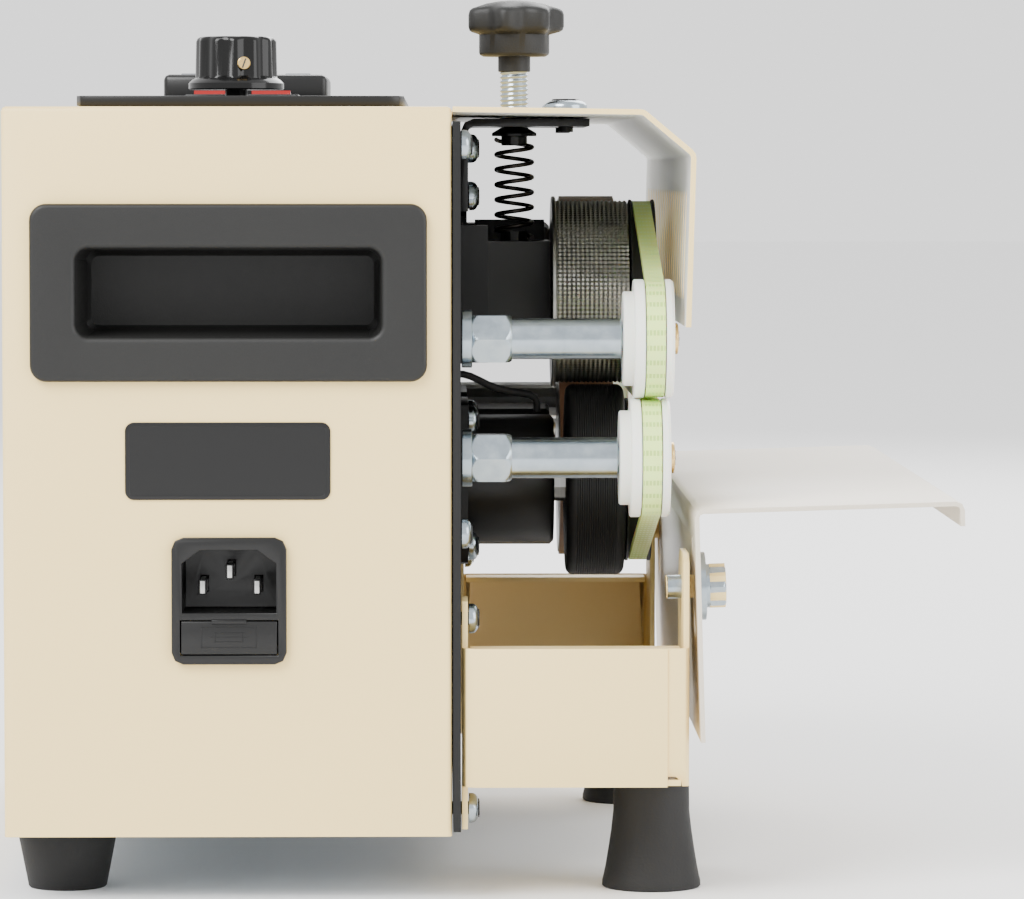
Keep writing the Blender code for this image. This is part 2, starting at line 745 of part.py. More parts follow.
def make_case():
    cream = finish("cream_paint", (0.97, 0.86, 0.64), 0.45)
    shell = box((CASE_LEFT, 0, CASE_BOTTOM), (CASE_RIGHT, CASE_LENGTH, CASE_TOP))
    uprights = [e for e in shell.edges if abs(e.verts[0].co.z - e.verts[1].co.z) > SHEET]
    tops = [e for e in shell.edges if min(v.co.z for v in e.verts) > CASE_BOTTOM + SHEET and e not in uprights]
    bmesh.ops.bevel(
        shell,
        geom=uprights + tops,
        offset=CASE_CORNER,
        segments=2,
        profile=0.5,
        affect="EDGES",
        material=-1,
    )
    room = box(
        (CASE_LEFT + SHEET, SHEET, CASE_BOTTOM - OVERRUN),
        (CASE_RIGHT - SHEET, CASE_LENGTH - SHEET, CASE_TOP - SHEET),
    )
    side = box(
        (CASE_RIGHT - SHEET - OVERRUN, CASE_FLANGE, CASE_BOTTOM - OVERRUN),
        (CASE_RIGHT + OVERRUN, CASE_LENGTH - CASE_FLANGE, CASE_TOP - CASE_FLANGE),
    )
    cuts = [room, side]
    for near, far in ((-OVERRUN, SHEET + OVERRUN), (CASE_LENGTH - SHEET - OVERRUN, CASE_LENGTH + OVERRUN)):
        grow = HANDLE_WALL + FIT
        mouth = rounded(
            (HANDLE_X - HANDLE_MOUTH_WIDTH / 2 - grow, HANDLE_Z - HANDLE_MOUTH_HEIGHT / 2 - grow),
            (HANDLE_X + HANDLE_MOUTH_WIDTH / 2 + grow, HANDLE_Z + HANDLE_MOUTH_HEIGHT / 2 + grow),
            HANDLE_MOUTH_CORNER + grow,
        )
        cuts.append(prism(mouth, "Y", near, far))
    low, high = inlet_body_corners(FIT)
    cuts.append(prism(rounded(low, high, INLET_CORNER), "Y", -OVERRUN, SHEET + OVERRUN))
    cuts += top_openings(CASE_TOP - SHEET - OVERRUN, CASE_TOP + OVERRUN)
    cuts += [pan_hole(place) for place in screws_into_case()]
    node("case_shell", cut(shell, *cuts), cream)

    inside = SHEET + FIT
    plate = box(
        (CASE_LEFT + inside, inside, CASE_BOTTOM),
        (CASE_RIGHT - inside, CASE_LENGTH - inside, CASE_BOTTOM + BASE_SHEET),
    )
    holes = [
        rod(CASE_BOTTOM - OVERRUN, CASE_BOTTOM + OVERRUN, FOOT_SCREW_RADIUS + FIT, (CASE_FOOT_X, y), "Z")
        for y in (CASE_FOOT_Y, CASE_LENGTH - CASE_FOOT_Y)
    ]
    node("base_plate", cut(plate, *holes), finish("zinc_sheet", (0.6, 0.61, 0.62), 0.4, 1))


def screws_into_case():
    """The panel's screws whose ends reach the flange round the case's open side."""
    reach = CASE_FLANGE + PAN_SHANK + FIT
    places = [place for group in panel_screw_places().values() for place in group]
    return [
        place
        for place in places
        if min(place[1], CASE_LENGTH - place[1]) < reach or place[2] > CASE_TOP - reach
    ]


def top_openings(low, high):
    """What passes through the top of the case: the dial's shaft, the rockers and the controller."""
    passages = [rod(low, high, POT_SHAFT + 2 * FIT, (KNOB_X, KNOB_Y), "Z")]
    half_width = ROCKER_WIDTH / 2 - ROCKER_RIM + 2 * FIT
    half_length = ROCKER_LENGTH / 2 - ROCKER_RIM + 2 * FIT
    for x in rocker_centres():
        passages.append(box((x - half_width, ROCKER_Y - half_length, low), (x + half_width, ROCKER_Y + half_length, high)))
    half = CONTROLLER_SIDE / 2 - CONTROLLER_BODY_INSET + FIT
    y = CONTROLLER_NEAR + CONTROLLER_SIDE / 2
    passages.append(box((CONTROLLER_X - half, y - half, low), (CONTROLLER_X + half, y + half, high)))
    return passages


def rocker_centres():
    return (ROCKER_LEFT_X, ROCKER_LEFT_X + ROCKER_SPACING)


def inlet_body_corners(grow):
    half_width = INLET_WIDTH / 2 - INLET_BODY_INSET + grow
    half_height = INLET_HEIGHT / 2 - INLET_BODY_INSET + grow
    return (INLET_X - half_width, INLET_Z - half_height), (INLET_X + half_width, INLET_Z + half_height)


def make_panel():
    black = finish("black_steel", (0.03, 0.03, 0.03), 0.5)
    panel = box((-PANEL_SHEET, 0, PANEL_BOTTOM), (0, CASE_LENGTH, PANEL_TOP))
    screws = [pan_screw(place) for group in panel_screw_places().values() for place in group]
    housings = [housing_shape(*place, -PANEL_SHEET / 2) for place in HOUSING_PLACES[1:]]
    axles = [idler_axle(place) for place in IDLER_PLACES]
    low = -PANEL_SHEET - OVERRUN
    cuts = [shaft_bore(low, place) for place in HOUSING_PLACES]
    slot = SHAFT_RADIUS + 3 * FIT
    lifted = (PRESS_Y + slot, PRESS_UPPER_Z + BLOCK_LIFT + slot)
    outline = rounded((PRESS_Y - slot, PRESS_UPPER_Z - slot), lifted, slot - FIT)
    cuts.append(prism(outline, "X", low, OVERRUN / 2))
    for place in (*STANDOFF_PLACES, *block_post_places()):
        cuts.append(rod(low, OVERRUN / 2, STANDOFF_STUD + FIT, place))
    cuts.append(rod(low, OVERRUN / 2, LEAD_RADIUS + 2 * FIT, (LEAD_START_Y, LEAD_START_Z)))
    panel = cut(fused(panel, *make_rails(), *housings, *axles, *screws), *cuts)
    node("mechanism_panel", panel, black)


def shaft_bore(start, place):
    """The way of a shaft, from start to past its bearing housing."""
    return rod(start, HOUSING_END + OVERRUN, SHAFT_RADIUS + FIT, place, steps=HUB_STEPS)


def rail_top():
    return BLOCK_START + BLOCK_TONGUE_DEPTH + FIT + RAIL_LIP


def block_post_places():
    """Where the posts of the cooling and heating blocks meet the panel."""
    rise = BAND_INNER_RISE + FIT + BLOCK_HEIGHT / 2
    return [(start + length / 2, NIP_Z + side * rise) for side in (-1, 1) for start, length in BLOCK_SPANS]


def make_guard():
    cream = finish("guard_paint", (0.97, 0.86, 0.64), 0.45)
    path = (
        (CASE_RIGHT + FIT, CASE_TOP),
        (GUARD_RISE_END, CASE_TOP - GUARD_DROP),
        (GUARD_SHOULDER, CASE_TOP - GUARD_SHOULDER_DROP),
        (GUARD_FOOT, CASE_TOP - GUARD_FOOT_DROP),
    )
    radius = GUARD_SHEET * 2
    guard = prism(sheet_outline(path, GUARD_SHEET, (radius, radius)), "Y", 0, CASE_LENGTH)
    top = CASE_TOP - SLOT_TOP_DROP
    pitch = (CASE_LENGTH - 2 * SLOT_MARGIN) / (SLOT_COUNT - 1)
    wall = (GUARD_FOOT - GUARD_SHEET - OVERRUN, GUARD_SHOULDER + OVERRUN)
    slots = []
    for index in range(SLOT_COUNT):
        y = SLOT_MARGIN + index * pitch
        low, high = (y - SLOT_WIDTH / 2, top - SLOT_HEIGHT), (y + SLOT_WIDTH / 2, top)
        ends = rounded(low, high, SLOT_WIDTH / 3, 1)
        slots.append(prism(ends, "X", *wall))
    holes = [screw_hole(place, TURNS["Z"], GUARD_SCREW_SHANK, OVERRUN) for place in guard_screw_places()]
    holes.append(rod(CASE_TOP - OVERRUN, CASE_TOP + OVERRUN, THREAD_RADIUS + 2 * FIT, (SPRING_X, PRESS_Y), "Z"))
    node("front_guard", cut(guard, gathered(*slots), *holes), cream)


def guard_screw_places():
    return [(GUARD_SCREW_X, PRESS_Y + side * GUARD_SCREW_SPACING / 2, CASE_TOP + FIT) for side in (-1, 1)]


def bracket_top():
    return CASE_TOP - GUARD_DROP - GUARD_SHEET - FIT


def make_bracket():
    top = bracket_top()
    path = ((FIT, CASE_TOP - BRACKET_DROP), (FIT, top), (BRACKET_REACH, top))
    outline = sheet_outline(path, BRACKET_SHEET, (BRACKET_BEND,))
    near, far = PRESS_Y - BRACKET_WIDTH / 2, PRESS_Y + BRACKET_WIDTH / 2
    holes = [pan_hole(place) for place in panel_screw_places()["leg"]]
    holes.append(rod(top - BRACKET_SHEET - OVERRUN, top + OVERRUN, THREAD_RADIUS + FIT, (SPRING_X, PRESS_Y), "Z"))
    screws = [
        screw(place, TURNS["Z"], GUARD_SCREW_HEAD, GUARD_SCREW_CROWN, GUARD_SCREW_SHANK, GUARD_SCREW_LENGTH)
        for place in guard_screw_places()
    ]
    bracket = fused(cut(prism(outline, "Y", near, far), *holes), *screws)
    node("guard_bracket", bracket, finish("bracket_black", (0.03, 0.03, 0.03), 0.45))


def make_handles():
    black = finish("handle_plastic", (0.03, 0.03, 0.03), 0.5)
    for name, far in (("carry_handle_near", False), ("carry_handle_far", True)):
        low = (HANDLE_X - HANDLE_WIDTH / 2, HANDLE_Z - HANDLE_HEIGHT / 2)
        high = (HANDLE_X + HANDLE_WIDTH / 2, HANDLE_Z + HANDLE_HEIGHT / 2)
        frame = prism(rounded(low, high, HANDLE_CORNER), "Y", -HANDLE_PROUD, -FIT)
        front = [f for f in frame.faces if f.calc_center_median().y < -HANDLE_PROUD + FIT]
        rim = {e for f in front for e in f.edges}
        bmesh.ops.bevel(
            frame, geom=list(rim), offset=HANDLE_EDGE, segments=2, profile=0.5, affect="EDGES", material=-1
        )
        mouth_low = (HANDLE_X - HANDLE_MOUTH_WIDTH / 2, HANDLE_Z - HANDLE_MOUTH_HEIGHT / 2)
        mouth_high = (HANDLE_X + HANDLE_MOUTH_WIDTH / 2, HANDLE_Z + HANDLE_MOUTH_HEIGHT / 2)
        cup = prism(
            rounded(
                [value - HANDLE_WALL for value in mouth_low],
                [value + HANDLE_WALL for value in mouth_high],
                HANDLE_MOUTH_CORNER + HANDLE_WALL,
            ),
            "Y",
            -HANDLE_PROUD / 2,
            HANDLE_DEPTH,
        )
        well = prism(
            rounded(mouth_low, mouth_high, HANDLE_MOUTH_CORNER), "Y", -HANDLE_PROUD - OVERRUN, HANDLE_DEPTH - HANDLE_WALL
        )
        handle = cut(fused(frame, cup), well)
        node(name, flipped(handle, CASE_LENGTH / 2) if far else handle, black)


def make_inlet():
    black = finish("inlet_plastic", (0.02, 0.02, 0.02), 0.4)
    low = (INLET_X - INLET_WIDTH / 2, INLET_Z - INLET_HEIGHT / 2)
    high = (INLET_X + INLET_WIDTH / 2, INLET_Z + INLET_HEIGHT / 2)
    flange = prism(rounded(low, high, INLET_CORNER), "Y", -INLET_PROUD, -FIT)
    body_low, body_high = inlet_body_corners(0)
    body = prism(rounded(body_low, body_high, INLET_CORNER), "Y", -INLET_PROUD / 2, INLET_BODY_DEPTH)
    half = SOCKET_WIDTH / 2
    socket = (
        (INLET_X - half, SOCKET_BOTTOM),
        (INLET_X + half, SOCKET_BOTTOM),
        (INLET_X + half, SOCKET_TOP - SOCKET_CHAMFER_Z),
        (INLET_X + half - SOCKET_CHAMFER_X, SOCKET_TOP),
        (INLET_X - half + SOCKET_CHAMFER_X, SOCKET_TOP),
        (INLET_X - half, SOCKET_TOP - SOCKET_CHAMFER_Z),
    )
    well = prism(socket, "Y", -INLET_PROUD - OVERRUN, SOCKET_DEPTH)
    bay = box(
        (INLET_X - DRAWER_WIDTH / 2 - FIT, -INLET_PROUD - OVERRUN, DRAWER_BOTTOM - FIT),
        (INLET_X + DRAWER_WIDTH / 2 + FIT, DRAWER_DEPTH + FIT, DRAWER_TOP + FIT),
    )
    hollow = cut(fused(flange, body), well, bay)
    blades = []
    for across, rise in ((-1, 0), (1, 0), (0, EARTH_BLADE_RISE)):
        x, z = INLET_X + across * BLADE_SPACING, BLADE_Z + rise
        blades.append(
            box(
                (x - BLADE_WIDTH / 2, BLADE_INSET, z - BLADE_HEIGHT / 2),
                (x + BLADE_WIDTH / 2, SOCKET_DEPTH + OVERRUN, z + BLADE_HEIGHT / 2),
            )
        )
    node("power_inlet", fused(hollow, *blades), black)

    face = box(
        (INLET_X - DRAWER_WIDTH / 2, -INLET_PROUD, DRAWER_BOTTOM),
        (INLET_X + DRAWER_WIDTH / 2, -INLET_PROUD + DRAWER_FACE, DRAWER_TOP),
    )
    inset = DRAWER_BOX_INSET
    tray = box(
        (INLET_X - DRAWER_WIDTH / 2 + inset, -INLET_PROUD + DRAWER_FACE / 2, DRAWER_BOTTOM + inset),
        (INLET_X + DRAWER_WIDTH / 2 - inset, DRAWER_DEPTH, DRAWER_TOP - inset),
    )
    wall = inset + DRAWER_TROUGH
    trough = box(
        (INLET_X - DRAWER_WIDTH / 2 + wall, -INLET_PROUD + DRAWER_FACE + wall, DRAWER_BOTTOM + wall),
        (INLET_X + DRAWER_WIDTH / 2 - wall, DRAWER_DEPTH - wall, DRAWER_TOP + OVERRUN),
    )
    middle = (INLET_X, -INLET_PROUD, (DRAWER_BOTTOM + DRAWER_TOP) / 2)
    node("fuse_drawer", cut(fused(face, tray), trough), finish("drawer_plastic", (0.03, 0.03, 0.03), 0.45), middle)


def fluted(radius, depth, lobes, points, height, centre):
    """A ring of points whose radius dips between its lobes."""
    count = lobes * points
    ring = []
    for index in range(count):
        angle = math.tau * index / count
        reach = radius - depth * (1 - math.cos(lobes * angle)) / 2
        ring.append((centre[0] + reach * math.cos(angle), centre[1] + reach * math.sin(angle), height))
    return ring


def make_controls():
    plastic = finish("control_plate", (0.035, 0.035, 0.03), 0.5)
    outline = rounded((CONTROL_LEFT, CONTROL_NEAR), (CONTROL_RIGHT, CONTROL_FAR), CONTROL_CORNER)
    plate = prism(outline, "Z", CASE_TOP + FIT, CONTROL_TOP)
    rockers_top = CONTROL_TOP + ROCKER_FRAME_HEIGHT
    frames, wells = [], []
    for x in rocker_centres():
        for inset, low in ((0, CONTROL_TOP - CONTROL_SHEET / 2), (ROCKER_RIM - FIT, CASE_TOP - ROCKER_BODY_DEPTH)):
            half = (ROCKER_WIDTH / 2 - inset, ROCKER_LENGTH / 2 - inset)
            frames.append(
                box((x - half[0], ROCKER_Y - half[1], low), (x + half[0], ROCKER_Y + half[1], rockers_top))
            )
        half = (ROCKER_WIDTH / 2 - ROCKER_RIM, ROCKER_LENGTH / 2 - ROCKER_RIM)
        floor = rockers_top - ROCKER_WELL
        wells.append(
            box(
                (x - half[0] + FIT, ROCKER_Y - half[1] + FIT, floor),
                (x + half[0] - FIT, ROCKER_Y + half[1] - FIT, rockers_top + OVERRUN),
            )
        )
    openings = top_openings(CASE_TOP - OVERRUN, CONTROL_TOP + OVERRUN)
    plain = cut(plate, openings[-1])
    for spare in openings[:-1]:
        spare.free()
    node("control_panel", fused(cut(fused(plain, *frames), *wells), potentiometer()), plastic)

    red = finish("rocker_red", (0.6, 0.03, 0.02), 0.35)
    half_width = ROCKER_WIDTH / 2 - ROCKER_RIM - 2 * FIT
    half_length = ROCKER_LENGTH / 2 - ROCKER_RIM - ROCKER_END_GAP
    for name, x in zip(("power_rocker", "heater_rocker"), rocker_centres()):
        outline = (
            (-half_length, ROCKER_CREST),
            (-half_length, -ROCKER_BELLY / 2),
            (-half_length / 2, -ROCKER_BELLY),
            (half_length / 2, -ROCKER_BELLY),
            (half_length, -ROCKER_BELLY / 2),
            (half_length, ROCKER_CREST),
            (0, ROCKER_WAIST),
        )
        turn = Matrix.Rotation(-ROCKER_TILT, 2)
        lever = prism([tuple(turn @ Vector(point)) for point in outline], "X", -half_width, half_width)
        pivot = (x, ROCKER_Y, rockers_top - ROCKER_PIVOT_DROP)
        node(name, moved(lever, pivot), red, pivot)

    base = CONTROL_TOP + DIAL_SKIRT_BOTTOM
    flutes = (DIAL_FLUTES, DIAL_POINTS_A_FLUTE)
    top = base + DIAL_HEIGHT
    centre = (KNOB_X, KNOB_Y)
    rings = [
        fluted(DIAL_SKIRT_RADIUS, 0, *flutes, base, centre),
        fluted(DIAL_SKIRT_RADIUS, 0, *flutes, base + DIAL_SKIRT_HEIGHT / 2, centre),
        fluted(DIAL_RADIUS, 0, *flutes, base + DIAL_SKIRT_HEIGHT, centre),
        fluted(DIAL_RADIUS, DIAL_FLUTE_DEPTH, *flutes, base + DIAL_SKIRT_HEIGHT + DIAL_EDGE, centre),
        fluted(DIAL_RADIUS, DIAL_FLUTE_DEPTH, *flutes, top - DIAL_EDGE, centre),
        fluted(DIAL_RADIUS - DIAL_EDGE, DIAL_FLUTE_DEPTH / 2, *flutes, top, centre),
    ]
    bore = rod(base - OVERRUN, base + DIAL_BORE_DEPTH, POT_SHAFT + FIT, centre, "Z")
    dial = cut(lofted(rings), bore)
    node("speed_knob", dial, finish("knob_gloss", (0.02, 0.02, 0.02), 0.15), (*centre, base))

    make_controller()


def potentiometer():
    """The speed control's body under the case top, and its shaft up into the knob."""
    centre = (KNOB_X, KNOB_Y)
    ceiling = CASE_TOP - SHEET - FIT
    shaft_top = CONTROL_TOP + DIAL_SKIRT_BOTTOM + DIAL_BORE_DEPTH - FIT
    return fused(
        rod(ceiling - POT_BODY, ceiling, POT_RADIUS, centre, "Z"),
        rod(ceiling - POT_BODY / 2, shaft_top, POT_SHAFT, centre, "Z"),
    )


def make_controller():
    y = CONTROLLER_NEAR + CONTROLLER_SIDE / 2
    half = CONTROLLER_SIDE / 2
    low = CONTROL_TOP + FIT
    top = low + CONTROLLER_BEZEL
    bezel = box((CONTROLLER_X - half, y - half, low), (CONTROLLER_X + half, y + half, top))
    edges = [e for e in bezel.edges if max(v.co.z for v in e.verts) > top - FIT]
    bmesh.ops.bevel(
        bezel, geom=edges, offset=CONTROLLER_EDGE, segments=2, profile=0.5, affect="EDGES", material=-1
    )
    inner = half - CONTROLLER_BODY_INSET
    body = box(
        (CONTROLLER_X - inner, y - inner, CONTROL_TOP - CONTROLLER_BODY_DEPTH),
        (CONTROLLER_X + inner, y + inner, low + CONTROLLER_BEZEL / 2),
    )
    pockets = []
    dark = finish("key_plastic", (0.25, 0.26, 0.28), 0.5)
    key_y = CONTROLLER_NEAR + KEY_MARGIN
    for index in range(4):
        x = CONTROLLER_X + (index - 3 / 2) * KEY_SPACING
        corner = (KEY_WIDTH / 2 + FIT, KEY_LENGTH / 2 + FIT)
        pockets.append(
            box(
                (x - corner[0], key_y - corner[1], top - KEY_DEPTH - KEY_TRAVEL - FIT),
                (x + corner[0], key_y + corner[1], top + OVERRUN),
            )
        )
        key = box(
            (x - KEY_WIDTH / 2, key_y - KEY_LENGTH / 2, top - KEY_DEPTH),
            (x + KEY_WIDTH / 2, key_y + KEY_LENGTH / 2, top + KEY_PROUD),
        )
        node(f"controller_key_{index + 1}", key, dark, (x, key_y, top))
    shell = cut(fused(bezel, body), *pockets)
    node("temperature_controller", shell, finish("controller_black", (0.03, 0.03, 0.03), 0.5))


def make_feet():
    rubber = finish("foot_rubber", (0.02, 0.02, 0.02), 0.85)
    brim = (TRAY_FOOT_RADIUS + TRAY_FOOT_FLARE) / 2
    tray_top = TRAY_BOTTOM
    bell = (
        (0, 0),
        (0, TRAY_FOOT_FLARE - TRAY_FOOT_BRIM_Z),
        (TRAY_FOOT_BRIM_Z, TRAY_FOOT_FLARE),
        (TRAY_FOOT_NECK_Z / 2, brim),
        (TRAY_FOOT_NECK_Z, TRAY_FOOT_RADIUS),
        (tray_top, TRAY_FOOT_RADIUS),
        (tray_top, FOOT_SCREW_RADIUS),
        (tray_top + FOOT_SCREW_RISE, FOOT_SCREW_RADIUS),
        (tray_top + FOOT_SCREW_RISE, 0),
    )
    for name, y in (("tray_foot_near", TRAY_FOOT_Y), ("tray_foot_far", TRAY_FAR_Y - TRAY_FOOT_Y)):
        node(name, turned(bell, (TRAY_FOOT_X, y, 0), TURNS["Z"], FOOT_STEPS), rubber)
    case_top = CASE_BOTTOM - FIT
    cone = (
        (0, 0),
        (0, CASE_FOOT_SOLE_RADIUS),
        (case_top, CASE_FOOT_TOP_RADIUS),
        (case_top, FOOT_SCREW_RADIUS),
        (case_top + FOOT_SCREW_RISE, FOOT_SCREW_RADIUS),
        (case_top + FOOT_SCREW_RISE, 0),
    )
    for name, y in (("case_foot_near", CASE_FOOT_Y), ("case_foot_far", CASE_LENGTH - CASE_FOOT_Y)):
        node(name, turned(cone, (CASE_FOOT_X, y, 0), TURNS["Z"], FOOT_STEPS), rubber)


def make_tray():
    cream = finish("tray_paint", (0.97, 0.86, 0.64), 0.45)
    depth = TRAY_FLANGE_DEPTH
    path = ((TRAY_RIGHT, TRAY_EAR_DEPTH), (TRAY_RIGHT, 0), (TRAY_LEFT, 0), (TRAY_LEFT, depth))
    for name, far in (("tray_bracket_near", False), ("tray_bracket_far", True)):
        outline = sheet_outline(path, TRAY_SHEET, (TRAY_BEND, TRAY_BEND))
        folded = prism(outline, "Z", TRAY_TAB_BOTTOM, TRAY_EAR_TOP)
        half = TRAY_SHEET / 2
        low, high = (TRAY_LEFT + TRAY_NOTCH, half), (TRAY_RIGHT - TRAY_NOTCH, TRAY_TOP_FLANGE)
        top = box((*low, TRAY_TOP - FIT - TRAY_SHEET), (*high, TRAY_TOP - FIT))
        high = (high[0], TRAY_BOTTOM_FLANGE)
        bottom = box((*low, TRAY_BOTTOM + FIT), (*high, TRAY_BOTTOM + FIT + TRAY_SHEET))
        holes = [
            rod(TRAY_LEFT - OVERRUN, TRAY_LEFT + OVERRUN, PAN_SHANK + FIT, (TRAY_SCREW_Y, z), steps=SCREW_STEPS)
            for z in (TRAY_TOP + TRAY_SCREW_RISE, TRAY_BOTTOM - TRAY_SCREW_RISE)
        ]
        foot = (TRAY_FOOT_X, TRAY_FOOT_Y)
        holes.append(rod(TRAY_BOTTOM - OVERRUN, TRAY_BOTTOM + OVERRUN, FOOT_SCREW_RADIUS + FIT, foot, "Z"))
        trimmed = cut(folded, *tray_trimmings())
        bracket = fused(cut(fused(trimmed, top, bottom), *holes), shelf_bolt())
        node(name, flipped(bracket, TRAY_FAR_Y / 2) if far else bracket, cream)


def tray_trimmings():
    """What is cut from the folded strip, to leave the low front plate, the tabs and the rounded ear."""
    past = OVERRUN
    middle, clear = TRAY_LEFT + TRAY_NOTCH + TRAY_BEND, TRAY_RIGHT - TRAY_NOTCH - TRAY_BEND
    left, right, front = TRAY_LEFT - past, TRAY_RIGHT + past, -past
    deep = TRAY_EAR_DEPTH + past
    low, high = TRAY_TAB_BOTTOM - past, TRAY_EAR_TOP + past
    cuts = [
        box((left, front, TRAY_TOP), (right, TRAY_BEND, high)),
        box((left, front, low), (right, TRAY_BEND, TRAY_BOTTOM)),
        box((left, front, TRAY_TAB_TOP), (middle, deep, high)),
        box((clear, front, low), (right, deep, TRAY_BOTTOM)),
    ]
    around = rounded((front, TRAY_BOTTOM), (deep, TRAY_EAR_TOP + past), TRAY_TAB_ROUND)
    ear = (TRAY_BEND, TRAY_BOTTOM), (TRAY_EAR_DEPTH, TRAY_EAR_TOP)
    wide = rounded((ear[0][0] - past, ear[0][1] - past), ear[1], TRAY_EAR_ROUND)
    shade = prism(around, "X", clear, right)
    cuts.append(cut(shade, prism(wide, "X", clear - past, right + past)))
    return cuts


def make_shelf():
    whitish = finish("shelf_paint", (0.9, 0.88, 0.82), 0.45)
    fold = Vector((SHELF_FOLD_X, SHELF_FOLD_Z))
    turn = Matrix.Rotation(SHELF_TILT, 2)
    flat = ((0, -SHELF_LEG), (0, 0), (SHELF_WIDTH, 0), (SHELF_WIDTH, -SHELF_LIP))
    path = [tuple(fold + turn @ Vector(point)) for point in flat]
    sheet = prism(sheet_outline(path, SHELF_SHEET, (SHELF_BEND, SHELF_BEND)), "Y", 0, SHELF_LENGTH)
    half = BOLT_RADIUS + FIT
    slots = [
        prism(
            rounded((y - half, BOLT_Z - SHELF_SLOT_HEIGHT / 2), (y + half, BOLT_Z + SHELF_SLOT_HEIGHT / 2), half - FIT),
            "X",
            SHELF_FOLD_X - OVERRUN,
            SHELF_FOLD_X + OVERRUN,
        )
        for y in bolt_places()
    ]
    node("shelf", cut(sheet, *slots), whitish, bolt_seat(BOLT_Y))


def shelf_bolt():
    """The hex bolt and its two washers, screwed into a tray bracket's ear, square to the shelf's leg."""
    out = Vector((math.cos(SHELF_TILT), 0, math.sin(SHELF_TILT)))
    seat = Vector(bolt_seat(BOLT_Y))
    split = BOLT_WASHER + SPRING_WASHER
    rings = (
        (-SHELF_SHEET - TRAY_SHEET - BOLT_TAIL, BOLT_RADIUS, False),
        (0, BOLT_RADIUS, False),
        (0, BOLT_WASHER_RADIUS, False),
        (BOLT_WASHER, BOLT_WASHER_RADIUS, False),
        (BOLT_WASHER, SPRING_WASHER_RADIUS, False),
        (split, SPRING_WASHER_RADIUS, False),
        (split, BOLT_HEX, True),
        (split + BOLT_HEAD, BOLT_HEX, True),
    )
    return stepped(rings, seat, out)


def bolt_places():
    return (BOLT_Y, TRAY_FAR_Y - BOLT_Y)


def bolt_seat(y):
    """Where a bolt's axis leaves the outer face of the shelf's leg, a gap away."""
    drop = SHELF_FOLD_Z - BOLT_Z
    x = SHELF_FOLD_X + drop * math.tan(SHELF_TILT) + (SHELF_SHEET + FIT) / math.cos(SHELF_TILT)
    return (x, y, BOLT_Z)


def guide_end(centre_x):
    """The outer face of a guide wheel on its standoff."""
    return centre_x + GUIDE_BELT_WIDTH / 2 + FIT + GUIDE_OUTER_FLANGE


def guide_start(centre_x):
    return centre_x - GUIDE_BELT_WIDTH / 2 - FIT - GUIDE_INNER_FLANGE - GUIDE_HUB_LENGTH


def guide_centre(z):
    return GUIDE_UPPER_X if z > NIP_Z else GUIDE_LOWER_X


def make_guide_wheels():
    nylon = finish("nylon", (0.9, 0.9, 0.86), 0.45)
    zinc = finish("standoff_zinc", (0.72, 0.75, 0.78), 0.25, 1)
    bore = GUIDE_AXLE_RADIUS + FIT
    groove = GUIDE_BELT_RADIUS - GUIDE_BELT_THICKNESS - FIT
    step = GUIDE_HUB_LENGTH + GUIDE_INNER_FLANGE
    far_step = step + GUIDE_BELT_WIDTH + 2 * FIT
    end = far_step + GUIDE_OUTER_FLANGE
    rim = GUIDE_FLANGE_RADIUS
    profile = (
        (0, bore),
        (0, GUIDE_HUB_RADIUS),
        (GUIDE_HUB_LENGTH, GUIDE_HUB_RADIUS),
        (GUIDE_HUB_LENGTH, rim),
        (step, rim),
        (step, groove),
        (far_step, groove),
        (far_step, rim),
        (end - GUIDE_CHAMFER, rim),
        (end, rim - GUIDE_CHAMFER),
        (end, bore),
    )
    for y, z in STANDOFF_PLACES:
        place = f"{'near' if y < SEAL_Y else 'far'}_{'upper' if z > NIP_Z else 'lower'}"
        start = guide_start(guide_centre(z))
        wheel = turned(profile, (start, y, z), TURNS["X"], HUB_STEPS, ring=True)
        node(f"guide_wheel_{place}", wheel, nylon, (start, y, z))
        node(f"guide_standoff_{place}", standoff(y, z), zinc)


def standoff(y, z):
    """A hex column with its stud, its washer, and the axle and screw head that hold a guide wheel."""
    hub = guide_start(guide_centre(z)) - FIT
    face = guide_end(guide_centre(z)) + FIT
    nut = FIT + STANDOFF_WASHER
    end = nut + STANDOFF_HEX_LENGTH
    rings = (
        (nut - STANDOFF_STUD_LENGTH, STANDOFF_STUD, False),
        (FIT, STANDOFF_STUD, False),
        (FIT, STANDOFF_WASHER_RADIUS, False),
        (nut, STANDOFF_WASHER_RADIUS, False),
        (nut, STANDOFF_HEX, True),
        (end - STANDOFF_CHAMFER, STANDOFF_HEX, True),
        (end, STANDOFF_HEX - STANDOFF_CHAMFER / 2, False),
        (end, STANDOFF_RADIUS, False),
        (hub, STANDOFF_RADIUS, False),
        (hub, GUIDE_AXLE_RADIUS, False),
        (face, GUIDE_AXLE_RADIUS, False),
        (face, GUIDE_SCREW_HEAD, False),
        (face + GUIDE_SCREW_CROWN, GUIDE_SCREW_HEAD * PAN_CROWN_SHARE, False),
    )
    return stepped(rings, (0, y, z), TURNS["X"])


